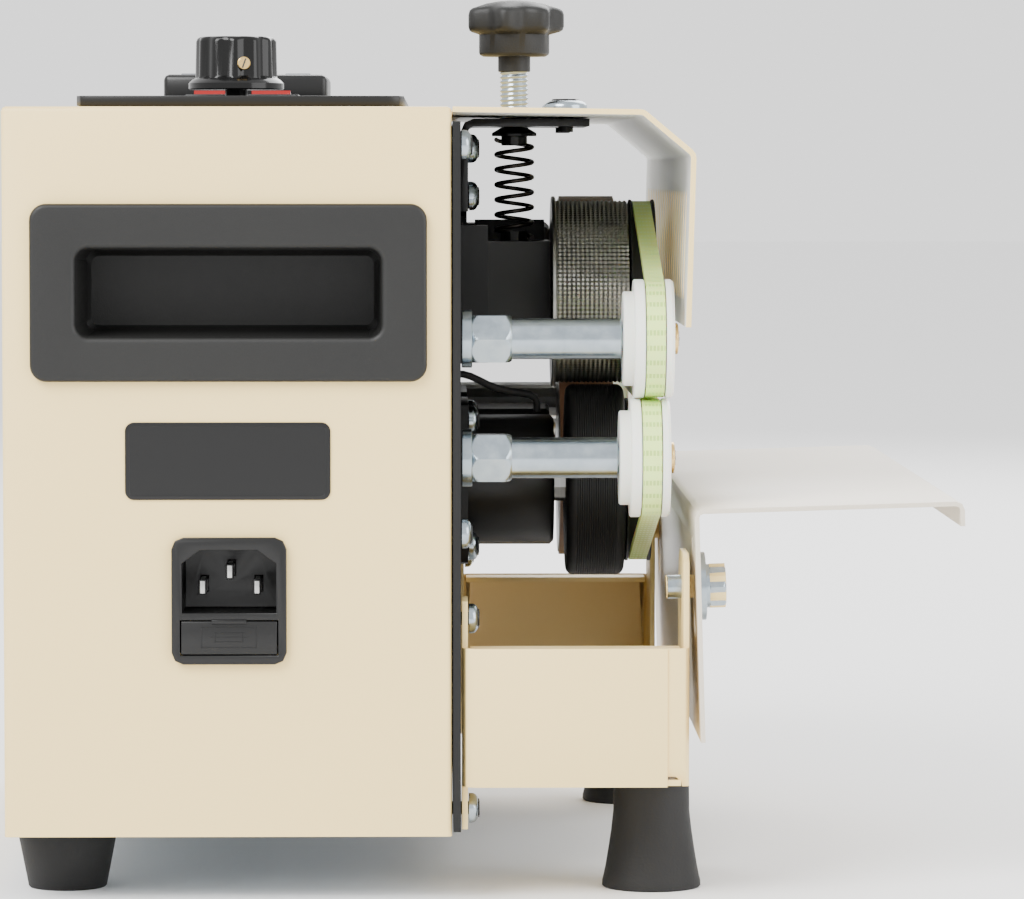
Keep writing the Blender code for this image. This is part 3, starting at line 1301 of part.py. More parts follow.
def make_guide_belts():
    green = finish("guide_belt_green", (0.75, 0.95, 0.35), 0.35)
    for name, centre_x, z, pulley_z, pulley_radius in (
        ("guide_belt_upper", GUIDE_UPPER_X, GUIDE_UPPER_Z, PRESS_UPPER_Z, PULLEY_UPPER_RADIUS),
        ("guide_belt_lower", GUIDE_LOWER_X, GUIDE_LOWER_Z, PRESS_LOWER_Z, PULLEY_LOWER_RADIUS),
    ):
        inner = GUIDE_BELT_THICKNESS + FIT
        circles = (
            (GUIDE_NEAR_Y, z, GUIDE_BELT_RADIUS - inner),
            (PRESS_Y, pulley_z, pulley_radius - inner),
            (GUIDE_FAR_Y, z, GUIDE_BELT_RADIUS - inner),
        )
        half = GUIDE_BELT_WIDTH / 2
        loop = belt(circles, FIT, GUIDE_BELT_THICKNESS, centre_x - half, centre_x + half)
        node(name, loop, green)


def pulley_start(centre_x):
    return centre_x - GUIDE_BELT_WIDTH / 2 - FIT - PULLEY_FLANGE


def pulley_end(centre_x):
    return centre_x + GUIDE_BELT_WIDTH / 2 + FIT + PULLEY_FLANGE


def make_pulley(name, centre_x, radius, z, material):
    groove = radius - GUIDE_BELT_THICKNESS - FIT
    rim = radius + PULLEY_RIM
    bore = SHAFT_RADIUS + FIT
    length = pulley_end(centre_x) - pulley_start(centre_x)
    profile = (
        (0, bore),
        (0, rim),
        (PULLEY_FLANGE, rim),
        (PULLEY_FLANGE, groove),
        (length - PULLEY_FLANGE, groove),
        (length - PULLEY_FLANGE, rim),
        (length, rim),
        (length, bore),
    )
    centre = (pulley_start(centre_x), PRESS_Y, z)
    node(name, turned(profile, centre, TURNS["X"], WHEEL_STEPS, ring=True), material, centre)


def geared_shaft(end, y, z, phase):
    """A shaft with its gear inside the case."""
    gear = prism(gear_outline(GEAR_TEETH, (y, z), phase), "X", GEAR_START, GEAR_END)
    return fused(gear, rod(GEAR_START - SHAFT_TAIL, end, SHAFT_RADIUS, (y, z)))


def pinion_centre():
    """The point one mesh away from both lower gears, below them."""
    reach = PINION_RADIUS + GEAR_RADIUS
    first, second = Vector((PRESS_Y, PRESS_LOWER_Z)), Vector((SEAL_Y, SEAL_LOWER_Z))
    across = second - first
    middle = (first + second) / 2
    drop = math.sqrt(reach**2 - (across.length / 2) ** 2)
    return middle + Vector((across.y, -across.x)).normalized() * drop


def bearing_to(start, end):
    return math.atan2(end[1] - start[1], end[0] - start[0])


def gear_phases():
    """Phases that put every gear's teeth in its neighbours' gaps, from the lower press gear on."""
    press_lower, press_upper = (PRESS_Y, PRESS_LOWER_Z), (PRESS_Y, PRESS_UPPER_Z)
    seal_lower, seal_upper = (SEAL_Y, SEAL_LOWER_Z), (SEAL_Y, SEAL_UPPER_Z)
    pinion = pinion_centre()
    phases = {"press_lower": 0}
    phases["press_upper"] = meshing_phase(GEAR_TEETH, GEAR_TEETH, 0, bearing_to(press_upper, press_lower))
    phases["pinion"] = meshing_phase(PINION_TEETH, GEAR_TEETH, 0, bearing_to(pinion, press_lower))
    phases["seal_lower"] = meshing_phase(
        GEAR_TEETH, PINION_TEETH, phases["pinion"], bearing_to(seal_lower, pinion)
    )
    phases["seal_upper"] = meshing_phase(
        GEAR_TEETH, GEAR_TEETH, phases["seal_lower"], bearing_to(seal_upper, seal_lower)
    )
    return phases


def make_press_wheels():
    steel = finish("shaft_steel", (0.65, 0.65, 0.66), 0.3, 1)
    black = finish("pulley_black", (0.03, 0.03, 0.03), 0.4)
    phases = gear_phases()
    bore = SHAFT_RADIUS + FIT
    upper_end = pulley_end(GUIDE_UPPER_X) + PULLEY_FLANGE
    lower_end = pulley_end(GUIDE_LOWER_X) + PULLEY_FLANGE
    upper = geared_shaft(upper_end, PRESS_Y, PRESS_UPPER_Z, phases["press_upper"])
    lower = geared_shaft(lower_end, PRESS_Y, PRESS_LOWER_Z, phases["press_lower"])
    node("press_shaft_upper", upper, steel, (0, PRESS_Y, PRESS_UPPER_Z))
    node("press_shaft_lower", lower, steel, (0, PRESS_Y, PRESS_LOWER_Z))

    length = KNURL_END - EDGE_DISC_START
    disc = KNURL_START - EDGE_DISC_START
    rim = KNURL_RADIUS - WHEEL_RIM
    profile = (
        (0, bore),
        (0, EDGE_DISC_RADIUS),
        (disc, EDGE_DISC_RADIUS),
        (disc, KNURL_RADIUS),
        (length, KNURL_RADIUS),
        (length, rim),
        (length - WHEEL_FACE_DISH, rim),
        (length - WHEEL_FACE_DISH, WHEEL_HUB_RADIUS),
        (length, WHEEL_HUB_RADIUS),
        (length, bore),
    )
    centre = (EDGE_DISC_START, PRESS_Y, PRESS_UPPER_Z)
    knurled = turned(profile, centre, TURNS["X"], WHEEL_STEPS, ring=True)
    node("knurled_wheel", knurled, finish("knurl_steel", (0.55, 0.54, 0.5), 0.35, 1), centre)

    length = RUBBER_END - RUBBER_START
    radius = RUBBER_SHOULDER
    near = arc((radius, RUBBER_RADIUS - radius), radius, 180, 90, FOLD_STEPS)
    far = arc((length - radius, RUBBER_RADIUS - radius), radius, 90, 0, FOLD_STEPS)
    profile = [(0, bore), *near, *far, (length, bore)]
    centre = (RUBBER_START, PRESS_Y, PRESS_LOWER_Z)
    rubber = turned(profile, centre, TURNS["X"], WHEEL_STEPS, ring=True)
    node("rubber_wheel", rubber, finish("press_rubber", (0.03, 0.03, 0.03), 0.6), centre)

    make_pulley("guide_pulley_upper", GUIDE_UPPER_X, PULLEY_UPPER_RADIUS, PRESS_UPPER_Z, black)
    make_pulley("guide_pulley_lower", GUIDE_LOWER_X, PULLEY_LOWER_RADIUS, PRESS_LOWER_Z, black)

    screws = [pan_hole(place) for place in panel_screw_places()["housing"]]
    bore = shaft_bore(FIT - OVERRUN, HOUSING_PLACES[0])
    housing = cut(housing_shape(*HOUSING_PLACES[0], FIT), bore, *screws)
    node("press_housing", housing, finish("housing_black", (0.02, 0.02, 0.02), 0.5))


def housing_shape(y, z, start):
    """A bearing housing on a square flange, not yet bored."""
    half = HOUSING_FLANGE
    flange_end = FIT + HOUSING_FLANGE_SHEET
    flange = prism(rounded((y - half, z - half), (y + half, z + half), HOUSING_EDGE * 2), "X", start, flange_end)
    length = HOUSING_END - start
    barrel = turned(
        (
            (0, 0),
            (0, HOUSING_RADIUS),
            (length - HOUSING_EDGE, HOUSING_RADIUS),
            (length, HOUSING_RADIUS - HOUSING_EDGE),
            (length, 0),
        ),
        (start, y, z),
        TURNS["X"],
        HUB_STEPS,
    )
    return fused(flange, barrel)


def idler_axle(place):
    """An idler's axle, fixed in the panel, with its collar and its head."""
    start = -STANDOFF_STUD_LENGTH / 2
    collar_end = SEAL_ROLLER_START - FIT - start
    head = SEAL_ROLLER_END + FIT - start
    axle = (
        (0, 0),
        (0, IDLER_AXLE_RADIUS),
        (FIT - start, IDLER_AXLE_RADIUS),
        (FIT - start, IDLER_COLLAR),
        (collar_end, IDLER_COLLAR),
        (collar_end, IDLER_AXLE_RADIUS),
        (head, IDLER_AXLE_RADIUS),
        (head, IDLER_AXLE_HEAD),
        (head + IDLER_HEAD_HEIGHT, IDLER_AXLE_HEAD),
        (head + IDLER_HEAD_HEIGHT, 0),
    )
    return turned(axle, (start, *place), TURNS["X"], BORE_STEPS)


def make_bearing_block():
    black = finish("block_black", (0.015, 0.015, 0.015), 0.5)
    half, tongue = BLOCK_HALF_WIDTH, BLOCK_HALF_WIDTH + BLOCK_TONGUE
    step = BLOCK_START + BLOCK_TONGUE_DEPTH
    outline = (
        (BLOCK_START, PRESS_Y - tongue),
        (step, PRESS_Y - tongue),
        (step, PRESS_Y - half),
        (BLOCK_END, PRESS_Y - half),
        (BLOCK_END, PRESS_Y + half),
        (step, PRESS_Y + half),
        (step, PRESS_Y + tongue),
        (BLOCK_START, PRESS_Y + tongue),
    )
    block = prism(outline, "Z", BLOCK_BOTTOM, BLOCK_TOP)
    ledge = box(
        (step, PRESS_Y + half - BLOCK_LEDGE_DEPTH, BLOCK_TOP - OVERRUN),
        (BLOCK_END - BLOCK_EDGE, PRESS_Y + half - BLOCK_EDGE, BLOCK_TOP + BLOCK_LEDGE_RISE),
    )
    spigot = rod(BLOCK_TOP - OVERRUN, BLOCK_TOP + SPIGOT_HEIGHT, SPIGOT_RADIUS, (SPRING_X, PRESS_Y), "Z")
    place = (PRESS_Y, PRESS_UPPER_Z)
    bore = rod(BLOCK_START - OVERRUN, BLOCK_END + OVERRUN, SHAFT_RADIUS + FIT, place, steps=HUB_STEPS)
    seat = (SPRING_X, PRESS_Y, BLOCK_TOP)
    node("upper_bearing_block", cut(fused(block, ledge, spigot), bore), black, seat)


def make_rails():
    """The two L-shaped rails that hold the bearing block's tongues, rooted in the panel."""
    half, tongue = BLOCK_HALF_WIDTH, BLOCK_HALF_WIDTH + BLOCK_TONGUE
    lip = BLOCK_START + BLOCK_TONGUE_DEPTH + FIT
    root = -PANEL_SHEET / 2
    rails = []
    for side in (-1, 1):
        wall, edge = PRESS_Y + side * (tongue + FIT), PRESS_Y + side * (half + FIT)
        back = PRESS_Y + side * (tongue + FIT + RAIL_WALL)
        outline = ((root, wall), (lip, wall), (lip, edge), (rail_top(), edge), (rail_top(), back), (root, back))
        rails.append(prism(outline, "Z", BLOCK_BOTTOM - RAIL_MARGIN, BLOCK_TOP + RAIL_MARGIN))
    return rails


def make_tube(name, points, radius, resolution, material):
    """A round tube through the points, with flat ends."""
    curve = bpy.data.curves.new(name, "CURVE")
    curve.dimensions = "3D"
    curve.bevel_depth = radius
    curve.bevel_resolution = resolution
    curve.use_fill_caps = True
    line = curve.splines.new("POLY")
    line.points.add(len(points) - 1)
    for spot, point in zip(line.points, points):
        spot.co = (*point, 1)
    curve.materials.append(material)
    obj = bpy.data.objects.new(name, curve)
    obj.parent = MACHINE
    bpy.context.collection.objects.link(obj)
    return obj


def least_gap(points, wire, apart):
    """The least clear distance between stretches of a tube that lie at least so many points apart."""
    return min(
        (Vector(here) - Vector(there)).length - 2 * wire
        for index, here in enumerate(points)
        for there in points[index + apart :]
    )


def make_spring_and_screw():
    zinc = finish("thread_zinc", (0.7, 0.7, 0.7), 0.35, 1)
    black = finish("star_plastic", (0.03, 0.03, 0.03), 0.5)
    wire = SPRING_WIRE / 2
    low = BLOCK_TOP + FIT + wire
    high = SEAT_BOTTOM - FIT - wire
    count = round(SPRING_TURNS * SPRING_POINTS_A_TURN)
    points = []
    for index in range(count + 1):
        angle = math.tau * index / SPRING_POINTS_A_TURN
        rise = low + (high - low) * index / count
        points.append((SPRING_X + SPRING_RADIUS * math.cos(angle), PRESS_Y + SPRING_RADIUS * math.sin(angle), rise))
    make_tube("pressure_spring", points, wire, 1, finish("spring_wire", (0.12, 0.11, 0.1), 0.4, 1))
    gap = least_gap(points, wire, SPRING_POINTS_A_TURN // 2)
    print(f"least gap of the spring to itself: {gap * 1000:.2f} mm")

    centre = (SPRING_X, PRESS_Y, SEAT_BOTTOM)
    rise = SEAT_TOP - SEAT_BOTTOM
    profile = (
        (-SPIGOT_HEIGHT, 0),
        (-SPIGOT_HEIGHT, SPIGOT_RADIUS),
        (0, SPIGOT_RADIUS),
        (0, SEAT_RADIUS),
        (rise / 3, SEAT_RADIUS),
        (rise, SEAT_NECK),
        (rise, 0),
    )
    node("spring_seat", turned(profile, centre, TURNS["Z"], BORE_STEPS), black, centre)

    start = SEAT_TOP + FIT
    length = KNOB_STAR_BOTTOM - start
    profile = (
        (0, 0),
        (0, THREAD_RADIUS - THREAD_TIP),
        (THREAD_TIP, THREAD_RADIUS),
        (length, THREAD_RADIUS),
        (length, 0),
    )
    centre = (SPRING_X, PRESS_Y, start)
    node("pressure_screw", turned(profile, centre, TURNS["Z"], BORE_STEPS), zinc, centre)

    lobes = (KNOB_LOBES, KNOB_POINTS_A_LOBE)
    middle = (SPRING_X, PRESS_Y)
    inner = KNOB_STAR_RADIUS - KNOB_EDGE
    dome = KNOB_STAR_RADIUS * KNOB_DOME_SHARE
    rings = [
        fluted(KNOB_HUB_RADIUS, 0, *lobes, KNOB_HUB_BOTTOM, middle),
        fluted(KNOB_HUB_RADIUS, 0, *lobes, KNOB_STAR_BOTTOM - KNOB_FLARE, middle),
        fluted(inner, KNOB_LOBE_DEPTH, *lobes, KNOB_STAR_BOTTOM, middle),
        fluted(KNOB_STAR_RADIUS, KNOB_LOBE_DEPTH, *lobes, KNOB_STAR_BOTTOM + KNOB_EDGE, middle),
        fluted(KNOB_STAR_RADIUS, KNOB_LOBE_DEPTH, *lobes, KNOB_STAR_TOP - KNOB_EDGE, middle),
        fluted(inner, KNOB_LOBE_DEPTH, *lobes, KNOB_STAR_TOP, middle),
        fluted(dome, 0, *lobes, (KNOB_STAR_TOP + KNOB_TOP) / 2, middle),
        fluted(dome / 2, 0, *lobes, KNOB_TOP, middle),
    ]
    bore = rod(KNOB_HUB_BOTTOM - OVERRUN, KNOB_STAR_BOTTOM + FIT, THREAD_RADIUS + FIT, middle, "Z")
    node("star_knob", cut(lofted(rings), bore), black, (*middle, KNOB_HUB_BOTTOM))


def make_seal_train():
    steel = finish("roller_steel", (0.6, 0.6, 0.6), 0.4, 1)
    phases = gear_phases()
    for name, z, key in (
        ("seal_roller_upper", SEAL_UPPER_Z, "seal_upper"),
        ("seal_roller_lower", SEAL_LOWER_Z, "seal_lower"),
    ):
        shaft = geared_shaft(SEAL_SHAFT_END, SEAL_Y, z, phases[key])
        drum = rod(SEAL_ROLLER_START, SEAL_ROLLER_END, ROLLER_RADIUS, (SEAL_Y, z), steps=WHEEL_STEPS)
        node(name, fused(shaft, drum), steel, (0, SEAL_Y, z))
    bore = IDLER_AXLE_RADIUS + FIT
    for name, (y, z) in zip(("seal_idler_upper", "seal_idler_lower"), IDLER_PLACES):
        idler = bushing(SEAL_ROLLER_START, SEAL_ROLLER_END, bore, IDLER_RADIUS, (y, z), HUB_STEPS)
        node(name, idler, steel, (SEAL_ROLLER_START, y, z))

    brown = finish("band_brown", (0.35, 0.2, 0.1), 0.5)
    for name, z, idler_z in (
        ("seal_band_upper", SEAL_UPPER_Z, IDLER_PLACES[0][1]),
        ("seal_band_lower", SEAL_LOWER_Z, IDLER_PLACES[1][1]),
    ):
        circles = ((SEAL_Y, z, ROLLER_RADIUS), (IDLER_Y, idler_z, IDLER_RADIUS))
        loop = belt(circles, FIT, BAND_THICKNESS, SEAL_ROLLER_START + FIT, SEAL_ROLLER_END - FIT)
        node(name, loop, brown)

    metal = finish("block_aluminium", (0.7, 0.7, 0.7), 0.4, 1)
    names = ("cooling_block_lower", "heater_block_lower", "cooling_block_upper", "heater_block_upper")
    for name, (start, length), (y, z) in zip(names, BLOCK_SPANS * 2, block_post_places()):
        body = box(
            (SEAL_ROLLER_START + FIT, start, z - BLOCK_HEIGHT / 2),
            (SEAL_ROLLER_END - FIT, start + length, z + BLOCK_HEIGHT / 2),
        )
        bmesh.ops.bevel(
            body, geom=list(body.edges), offset=BLOCK_EDGE, segments=1, profile=0.5, affect="EDGES", material=-1
        )
        stud_start = -STANDOFF_STUD_LENGTH / 2
        post = (
            (0, 0),
            (0, STANDOFF_STUD),
            (FIT - stud_start, STANDOFF_STUD),
            (FIT - stud_start, BLOCK_POST_RADIUS),
            (SEAL_ROLLER_START + OVERRUN - stud_start, BLOCK_POST_RADIUS),
            (SEAL_ROLLER_START + OVERRUN - stud_start, 0),
        )
        node(name, fused(body, turned(post, (stud_start, y, z), TURNS["X"], BORE_STEPS)), metal)


def make_motor():
    y, z = pinion_centre()
    centre = (y, z)
    half = GEARBOX_HALF
    gearbox = box((GEARBOX_START, y - half, z - half), (GEARBOX_END, y + half, z + half))
    bmesh.ops.bevel(
        gearbox,
        geom=[e for e in gearbox.edges if abs(e.verts[0].co.x - e.verts[1].co.x) > SHEET],
        offset=HANDLE_CORNER,
        segments=1,
        profile=0.5,
        affect="EDGES",
        material=-1,
    )
    motor = rod(GEARBOX_START - MOTOR_LENGTH, GEARBOX_START + OVERRUN, MOTOR_RADIUS, centre, steps=MOTOR_STEPS)
    floor = CASE_BOTTOM + BASE_SHEET + FIT
    foot_x = GEARBOX_START + MOTOR_FOOT_SHEET
    web = box((GEARBOX_START, y - half + HANDLE_CORNER, floor), (foot_x, y + half - HANDLE_CORNER, z - half + OVERRUN))
    foot = box(
        (GEARBOX_START, y - half + HANDLE_CORNER, floor),
        (foot_x + MOTOR_FOOT_REACH, y + half - HANDLE_CORNER, floor + MOTOR_FOOT_SHEET),
    )
    bore = rod(GEARBOX_END - MOTOR_FOOT_REACH / 2, GEARBOX_END + OVERRUN, MOTOR_SHAFT + FIT, centre)
    whole = cut(fused(gearbox, motor, web, foot), bore)
    node("gear_motor", whole, finish("motor_grey", (0.3, 0.31, 0.33), 0.5, 0.6))
    teeth = prism(gear_outline(PINION_TEETH, centre, gear_phases()["pinion"]), "X", GEAR_START, GEAR_END)
    shaft = rod(GEARBOX_END - MOTOR_FOOT_REACH / 2 + FIT, GEAR_END + SHAFT_TAIL / 2, MOTOR_SHAFT, centre)
    pinion = fused(teeth, shaft)
    node("motor_pinion", pinion, finish("pinion_steel", (0.6, 0.6, 0.6), 0.35, 1), (0, y, z))


def smooth_route(points, count):
    """Points along a smooth curve through a few chosen points."""
    ends = [2 * Vector(points[0]) - Vector(points[1]), *map(Vector, points)]
    ends.append(2 * ends[-1] - ends[-2])
    route = []
    spans = len(points) - 1
    for index in range(count + 1):
        place = min(index * spans / count, spans - FIT)
        span = int(place)
        t = place - span
        a, b, c, d = ends[span : span + 4]
        route.append(
            (2 * b + (c - a) * t + (2 * a - 5 * b + 4 * c - d) * t**2 + (3 * b - a - 3 * c + d) * t**3) / 2
        )
    return route


def make_lead():
    top = PRESS_LOWER_Z + HOUSING_RADIUS + LEAD_RADIUS
    points = (
        (-PANEL_SHEET * 2, LEAD_START_Y, LEAD_START_Z),
        (LEAD_RADIUS * 2, LEAD_START_Y, LEAD_START_Z),
        (LEAD_END_X / 2, (LEAD_START_Y + PRESS_Y) / 2, LEAD_START_Z - LEAD_SAG),
        (LEAD_END_X - LEAD_RADIUS, PRESS_Y, top + LEAD_SAG),
        (LEAD_END_X, PRESS_Y, PRESS_LOWER_Z + HOUSING_RADIUS + 2 * FIT),
    )
    make_tube("sensor_lead", smooth_route(points, LEAD_STEPS), LEAD_RADIUS, 2, finish("lead_black", (0.02, 0.02, 0.02), 0.5))


def put_origin_below():
    """Moves the machine so that its origin lies at the middle of its footprint, on the ground."""
    bpy.context.view_layer.update()
    graph = bpy.context.evaluated_depsgraph_get()
    corners = []
    for obj in MACHINE.children:
        evaluated = obj.evaluated_get(graph)
        corners += [obj.matrix_world @ vertex.co for vertex in evaluated.to_mesh().vertices]
        evaluated.to_mesh_clear()
    low = [min(corner[axis] for corner in corners) for axis in range(3)]
    high = [max(corner[axis] for corner in corners) for axis in range(3)]
    MACHINE.location = (-(low[0] + high[0]) / 2, -(low[1] + high[1]) / 2, -low[2])
    bpy.context.view_layer.update()


clear_scene()
MACHINE = bpy.data.objects.new("machine", None)
bpy.context.collection.objects.link(MACHINE)
make_case()
make_panel()
make_guard()
make_bracket()
make_handles()
make_inlet()
make_controls()
make_feet()
make_tray()
make_shelf()
make_guide_wheels()
make_guide_belts()
make_press_wheels()
make_bearing_block()
make_spring_and_screw()
make_seal_train()
make_motor()
make_lead()
put_origin_below()
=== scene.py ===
"""The looks of a benchtop band sealer: coats, screws, knurl, belts and knobs on its solids."""

import json
import math

import bmesh
import bpy
from mathutils import Matrix, Vector


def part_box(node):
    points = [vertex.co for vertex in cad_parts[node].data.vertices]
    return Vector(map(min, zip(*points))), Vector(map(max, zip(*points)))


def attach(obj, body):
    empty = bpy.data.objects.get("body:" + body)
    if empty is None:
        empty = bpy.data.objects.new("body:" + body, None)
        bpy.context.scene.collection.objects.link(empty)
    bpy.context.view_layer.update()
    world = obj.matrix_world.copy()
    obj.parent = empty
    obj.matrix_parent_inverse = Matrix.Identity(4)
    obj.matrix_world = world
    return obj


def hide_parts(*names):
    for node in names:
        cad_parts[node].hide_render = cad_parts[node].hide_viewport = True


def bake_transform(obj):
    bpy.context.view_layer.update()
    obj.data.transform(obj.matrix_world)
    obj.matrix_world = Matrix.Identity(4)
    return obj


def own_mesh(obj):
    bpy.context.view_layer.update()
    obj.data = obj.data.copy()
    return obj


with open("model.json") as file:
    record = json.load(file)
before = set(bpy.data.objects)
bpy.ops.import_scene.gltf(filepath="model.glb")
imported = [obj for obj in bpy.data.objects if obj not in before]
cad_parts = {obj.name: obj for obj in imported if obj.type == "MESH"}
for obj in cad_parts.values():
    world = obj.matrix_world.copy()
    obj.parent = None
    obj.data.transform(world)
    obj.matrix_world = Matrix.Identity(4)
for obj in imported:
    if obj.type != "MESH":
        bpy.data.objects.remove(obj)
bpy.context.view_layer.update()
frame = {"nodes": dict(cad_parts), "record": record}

bl_info = {
    "name": "Band sealer finish", "version": (1, 0, 0), "blender": (4, 5, 0),
    "location": "View3D > Sidebar > Band sealer",
    "description": "Dresses the band sealer's solids with coats, screws, knurl, belts and knobs",
    "category": "Object",
}

BODY_OF = {
    node: body for body, nodes in frame["record"]["behaviour"]["bodies"].items() for node in nodes
}
MM = 0.001
ACROSS = Vector((1, 0, 0))
UP = Vector((0, 0, 1))

# The panel's outer face stands this far past the shell, in metres
PANEL_PROUD = 0.0023
CORNER_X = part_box("case_shell")[1][0] + PANEL_PROUD
CORNER_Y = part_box("case_shell")[0][1]

# Places in mm from the panel's outer face, the case's near end and the ground
CASE_LENGTH = 280
TRAY_LENGTH = 246.5
PRESS_Y = 105
SHAFT = {"upper": (PRESS_Y, 155.0), "lower": (PRESS_Y, 103.0)}
BELT_X = {"upper": 50.2, "lower": 49.3}
WHEEL_Y = {"near": 15.6, "far": 264.4}
WHEEL_Z = {"upper": 144.9, "lower": 114.0}
PRESSURE_X = 15.2
STAR_KNOB_Z = 219.8
DIAL_X, DIAL_Y = -58.8, 39
CONTROL_TOP = 207.7

# How far a cover stands out of the solid's own screw head, and the head's straight skirt, in mm
COVER = 0.06
SKIRT = 0.8

# A solid's edge is rounded from this angle, and from this many times the rounding in length
HARD_ANGLE, SHORTEST = math.radians(28), 2.5

# A solid whose body the loose plated parts share
PLATED = "guide_standoff_near_upper"

# The body named for a piece that bends between two bodies
BENDS = ""


def at(x, y, z):
    """A place in mm from the panel's outer face, the case's near end and the ground, in metres."""
    return Vector((CORNER_X + x * MM, CORNER_Y + y * MM, z * MM))


class Figure:
    """A number in a material: sums written with it become Math nodes."""

    def __init__(self, shader, socket):
        self.shader = shader
        self.socket = socket

    def sum(self, operation, *values):
        settings = {"operation": operation}
        node = self.shader.add("ShaderNodeMath", settings, dict(enumerate(values)))
        return Figure(self.shader, node.outputs[0])

    def __add__(self, other):
        return self.sum("ADD", self, other)

    def __sub__(self, other):
        return self.sum("SUBTRACT", self, other)

    def __rsub__(self, other):
        return self.sum("SUBTRACT", other, self)

    def __mul__(self, other):
        return self.sum("MULTIPLY", self, other)

    def __truediv__(self, other):
        return self.sum("DIVIDE", self, other)

    def __lt__(self, other):
        return self.sum("LESS_THAN", self, other)

    def __abs__(self):
        return self.sum("ABSOLUTE", self)

    def fraction(self):
        return self.sum("FRACT", self)

    __radd__ = __add__
    __rmul__ = __mul__


class Finish:
    """One material, built round its Principled shader."""

    def __init__(self, name, colour, metallic=0.0, specular=0.5, **fixed):
        self.made = bpy.data.materials.new(name)
        self.made.use_nodes = True
        self.made.diffuse_color = (*colour, 1)
        self.tree = self.made.node_tree
        self.shader = self.tree.nodes["Principled BSDF"]
        self.put("Base Color", (*colour, 1))
        self.put("Metallic", metallic)
        self.put("Specular IOR Level", specular)
        for socket, value in fixed.items():
            self.put(socket.replace("_", " "), value)

    def feed(self, socket, value):
        """Links a figure or another node's output to a socket, or sets the socket's own value."""
        value = value.socket if isinstance(value, Figure) else value
        if isinstance(value, bpy.types.NodeSocket):
            self.tree.links.new(value, socket)
        else:
            socket.default_value = value

    def add(self, kind, settings=None, values=None):
        """A node of that kind, with its settings and then its values or links."""
        node = self.tree.nodes.new(kind)
        for name, value in (settings or {}).items():
            setattr(node, name, value)
        for key, value in (values or {}).items():
            self.feed(node.inputs[key], value)
        return node

    def put(self, socket, value):
        self.feed(self.shader.inputs[socket], value)

    def place(self):
        return self.add("ShaderNodeTexCoord").outputs["Object"]

    def attribute(self, name):
        node = self.add("ShaderNodeAttribute", {"attribute_name": name})
        return Figure(self, node.outputs["Fac"])

    def noise(self, scale, detail, stretch=(1, 1, 1)):
        """Even noise in object space; stretch draws it out along an axis."""
        mapping = {"Vector": self.place(), "Scale": stretch}
        mapped = self.add("ShaderNodeMapping", None, mapping).outputs[0]
        grain = {"Vector": mapped, "Scale": scale, "Detail": detail}
        return Figure(self, self.add("ShaderNodeTexNoise", None, grain).outputs["Fac"])

    def tint(self, factor, first, second):
        mixed = {"Factor": factor, 6: (*first, 1), 7: (*second, 1)}
        self.put("Base Color", self.add("ShaderNodeMix", {"data_type": "RGBA"}, mixed).outputs[2])

    def relief(self, height, strength, distance):
        heights = {"Height": height, "Strength": strength, "Distance": distance}
        self.put("Normal", self.add("ShaderNodeBump", None, heights).outputs[0])


def grey(value):
    return (value, value, value)


def colours():
    return bpy.context.scene.sealer_colours


def powder(name, colour, shade, roughness, **fixed):
    """A powder coat: a faint orange peel, and slightly uneven gloss and tone."""
    coat = Finish(name, colour, **fixed)
    cloud = coat.noise(14, 3)
    coat.tint(cloud, colour, shade)
    coat.put("Roughness", roughness - 0.06 + 0.12 * cloud)
    coat.relief(coat.noise(900, 2), 0.12, 0.0002)
    return coat


def cream_coat():
    colour = tuple(colours().coat)
    return powder("cream_powder_coat", colour, tuple(value * 0.965 for value in colour), 0.42)


def shelf_coat():
    colour = tuple(colours().shelf)
    return powder("shelf_powder_coat", colour, tuple(value * 0.97 for value in colour), 0.36)


def black_coat():
    return powder("black_powder_coat", grey(0.005), grey(0.008), 0.4, specular=0.3)


def motor_paint():
    return powder("motor_paint", (0.07, 0.075, 0.08), (0.1, 0.105, 0.11), 0.5)


def moulded():
    """Fine-grained black moulding, as on the grips and the star knob."""
    black = Finish("moulded_black", grey(0.008), specular=0.35)
    grain = black.noise(2600, 2)
    black.tint(black.noise(30, 2), grey(0.007), (0.011, 0.011, 0.01))
    black.put("Roughness", 0.42 + 0.14 * grain)
    black.relief(grain, 0.35, 0.00015)
    return black


def belt_green():
    """Clear yellow-green polyurethane with embossed rows of dashes across it."""
    green = tuple(colours().belt)
    dark = tuple(value * share for value, share in zip(green, (0.5, 0.62, 0.35)))
    fixed = {"Subsurface_Weight": 0.35, "Subsurface_Scale": 0.002}
    belt = Finish("belt_polyurethane", green, **fixed)
    along, across = belt.attribute("along"), belt.attribute("across")
    row = abs((along / 4.03).fraction() - 0.5) < 0.17
    column = abs((across / 0.93).fraction() - 0.5) < 0.33
    dash = row * column * (abs(across) < 2.3)
    soft = 0.12 * belt.noise(150, 2)
    belt.tint(dash * 0.75 + soft, green, dark)
    belt.put("Roughness", 0.26 + 0.2 * dash)
    belt.relief(dash, -0.6, 0.0002)
    return belt


def glass_cloth():
    """Brown coated glass cloth with its fine weave."""
    cloth = Finish("coated_glass_cloth", (0.17, 0.085, 0.04))
    spot = cloth.add("ShaderNodeSeparateXYZ", None, {0: cloth.place()})
    x, y = Figure(cloth, spot.outputs[0]), Figure(cloth, spot.outputs[1])
    warp = (x * 2200).fraction() < 0.5
    weft = (y * 2200).fraction() < 0.5
    weave = abs(warp - weft)
    cloud = 0.5 * weave + 0.5 * cloth.noise(60, 3)
    cloth.tint(cloud, (0.13, 0.06, 0.03), (0.25, 0.14, 0.075))
    cloth.put("Roughness", 0.32 + 0.14 * weave)
    cloth.relief(weave, 0.15, 0.0001)
    return cloth


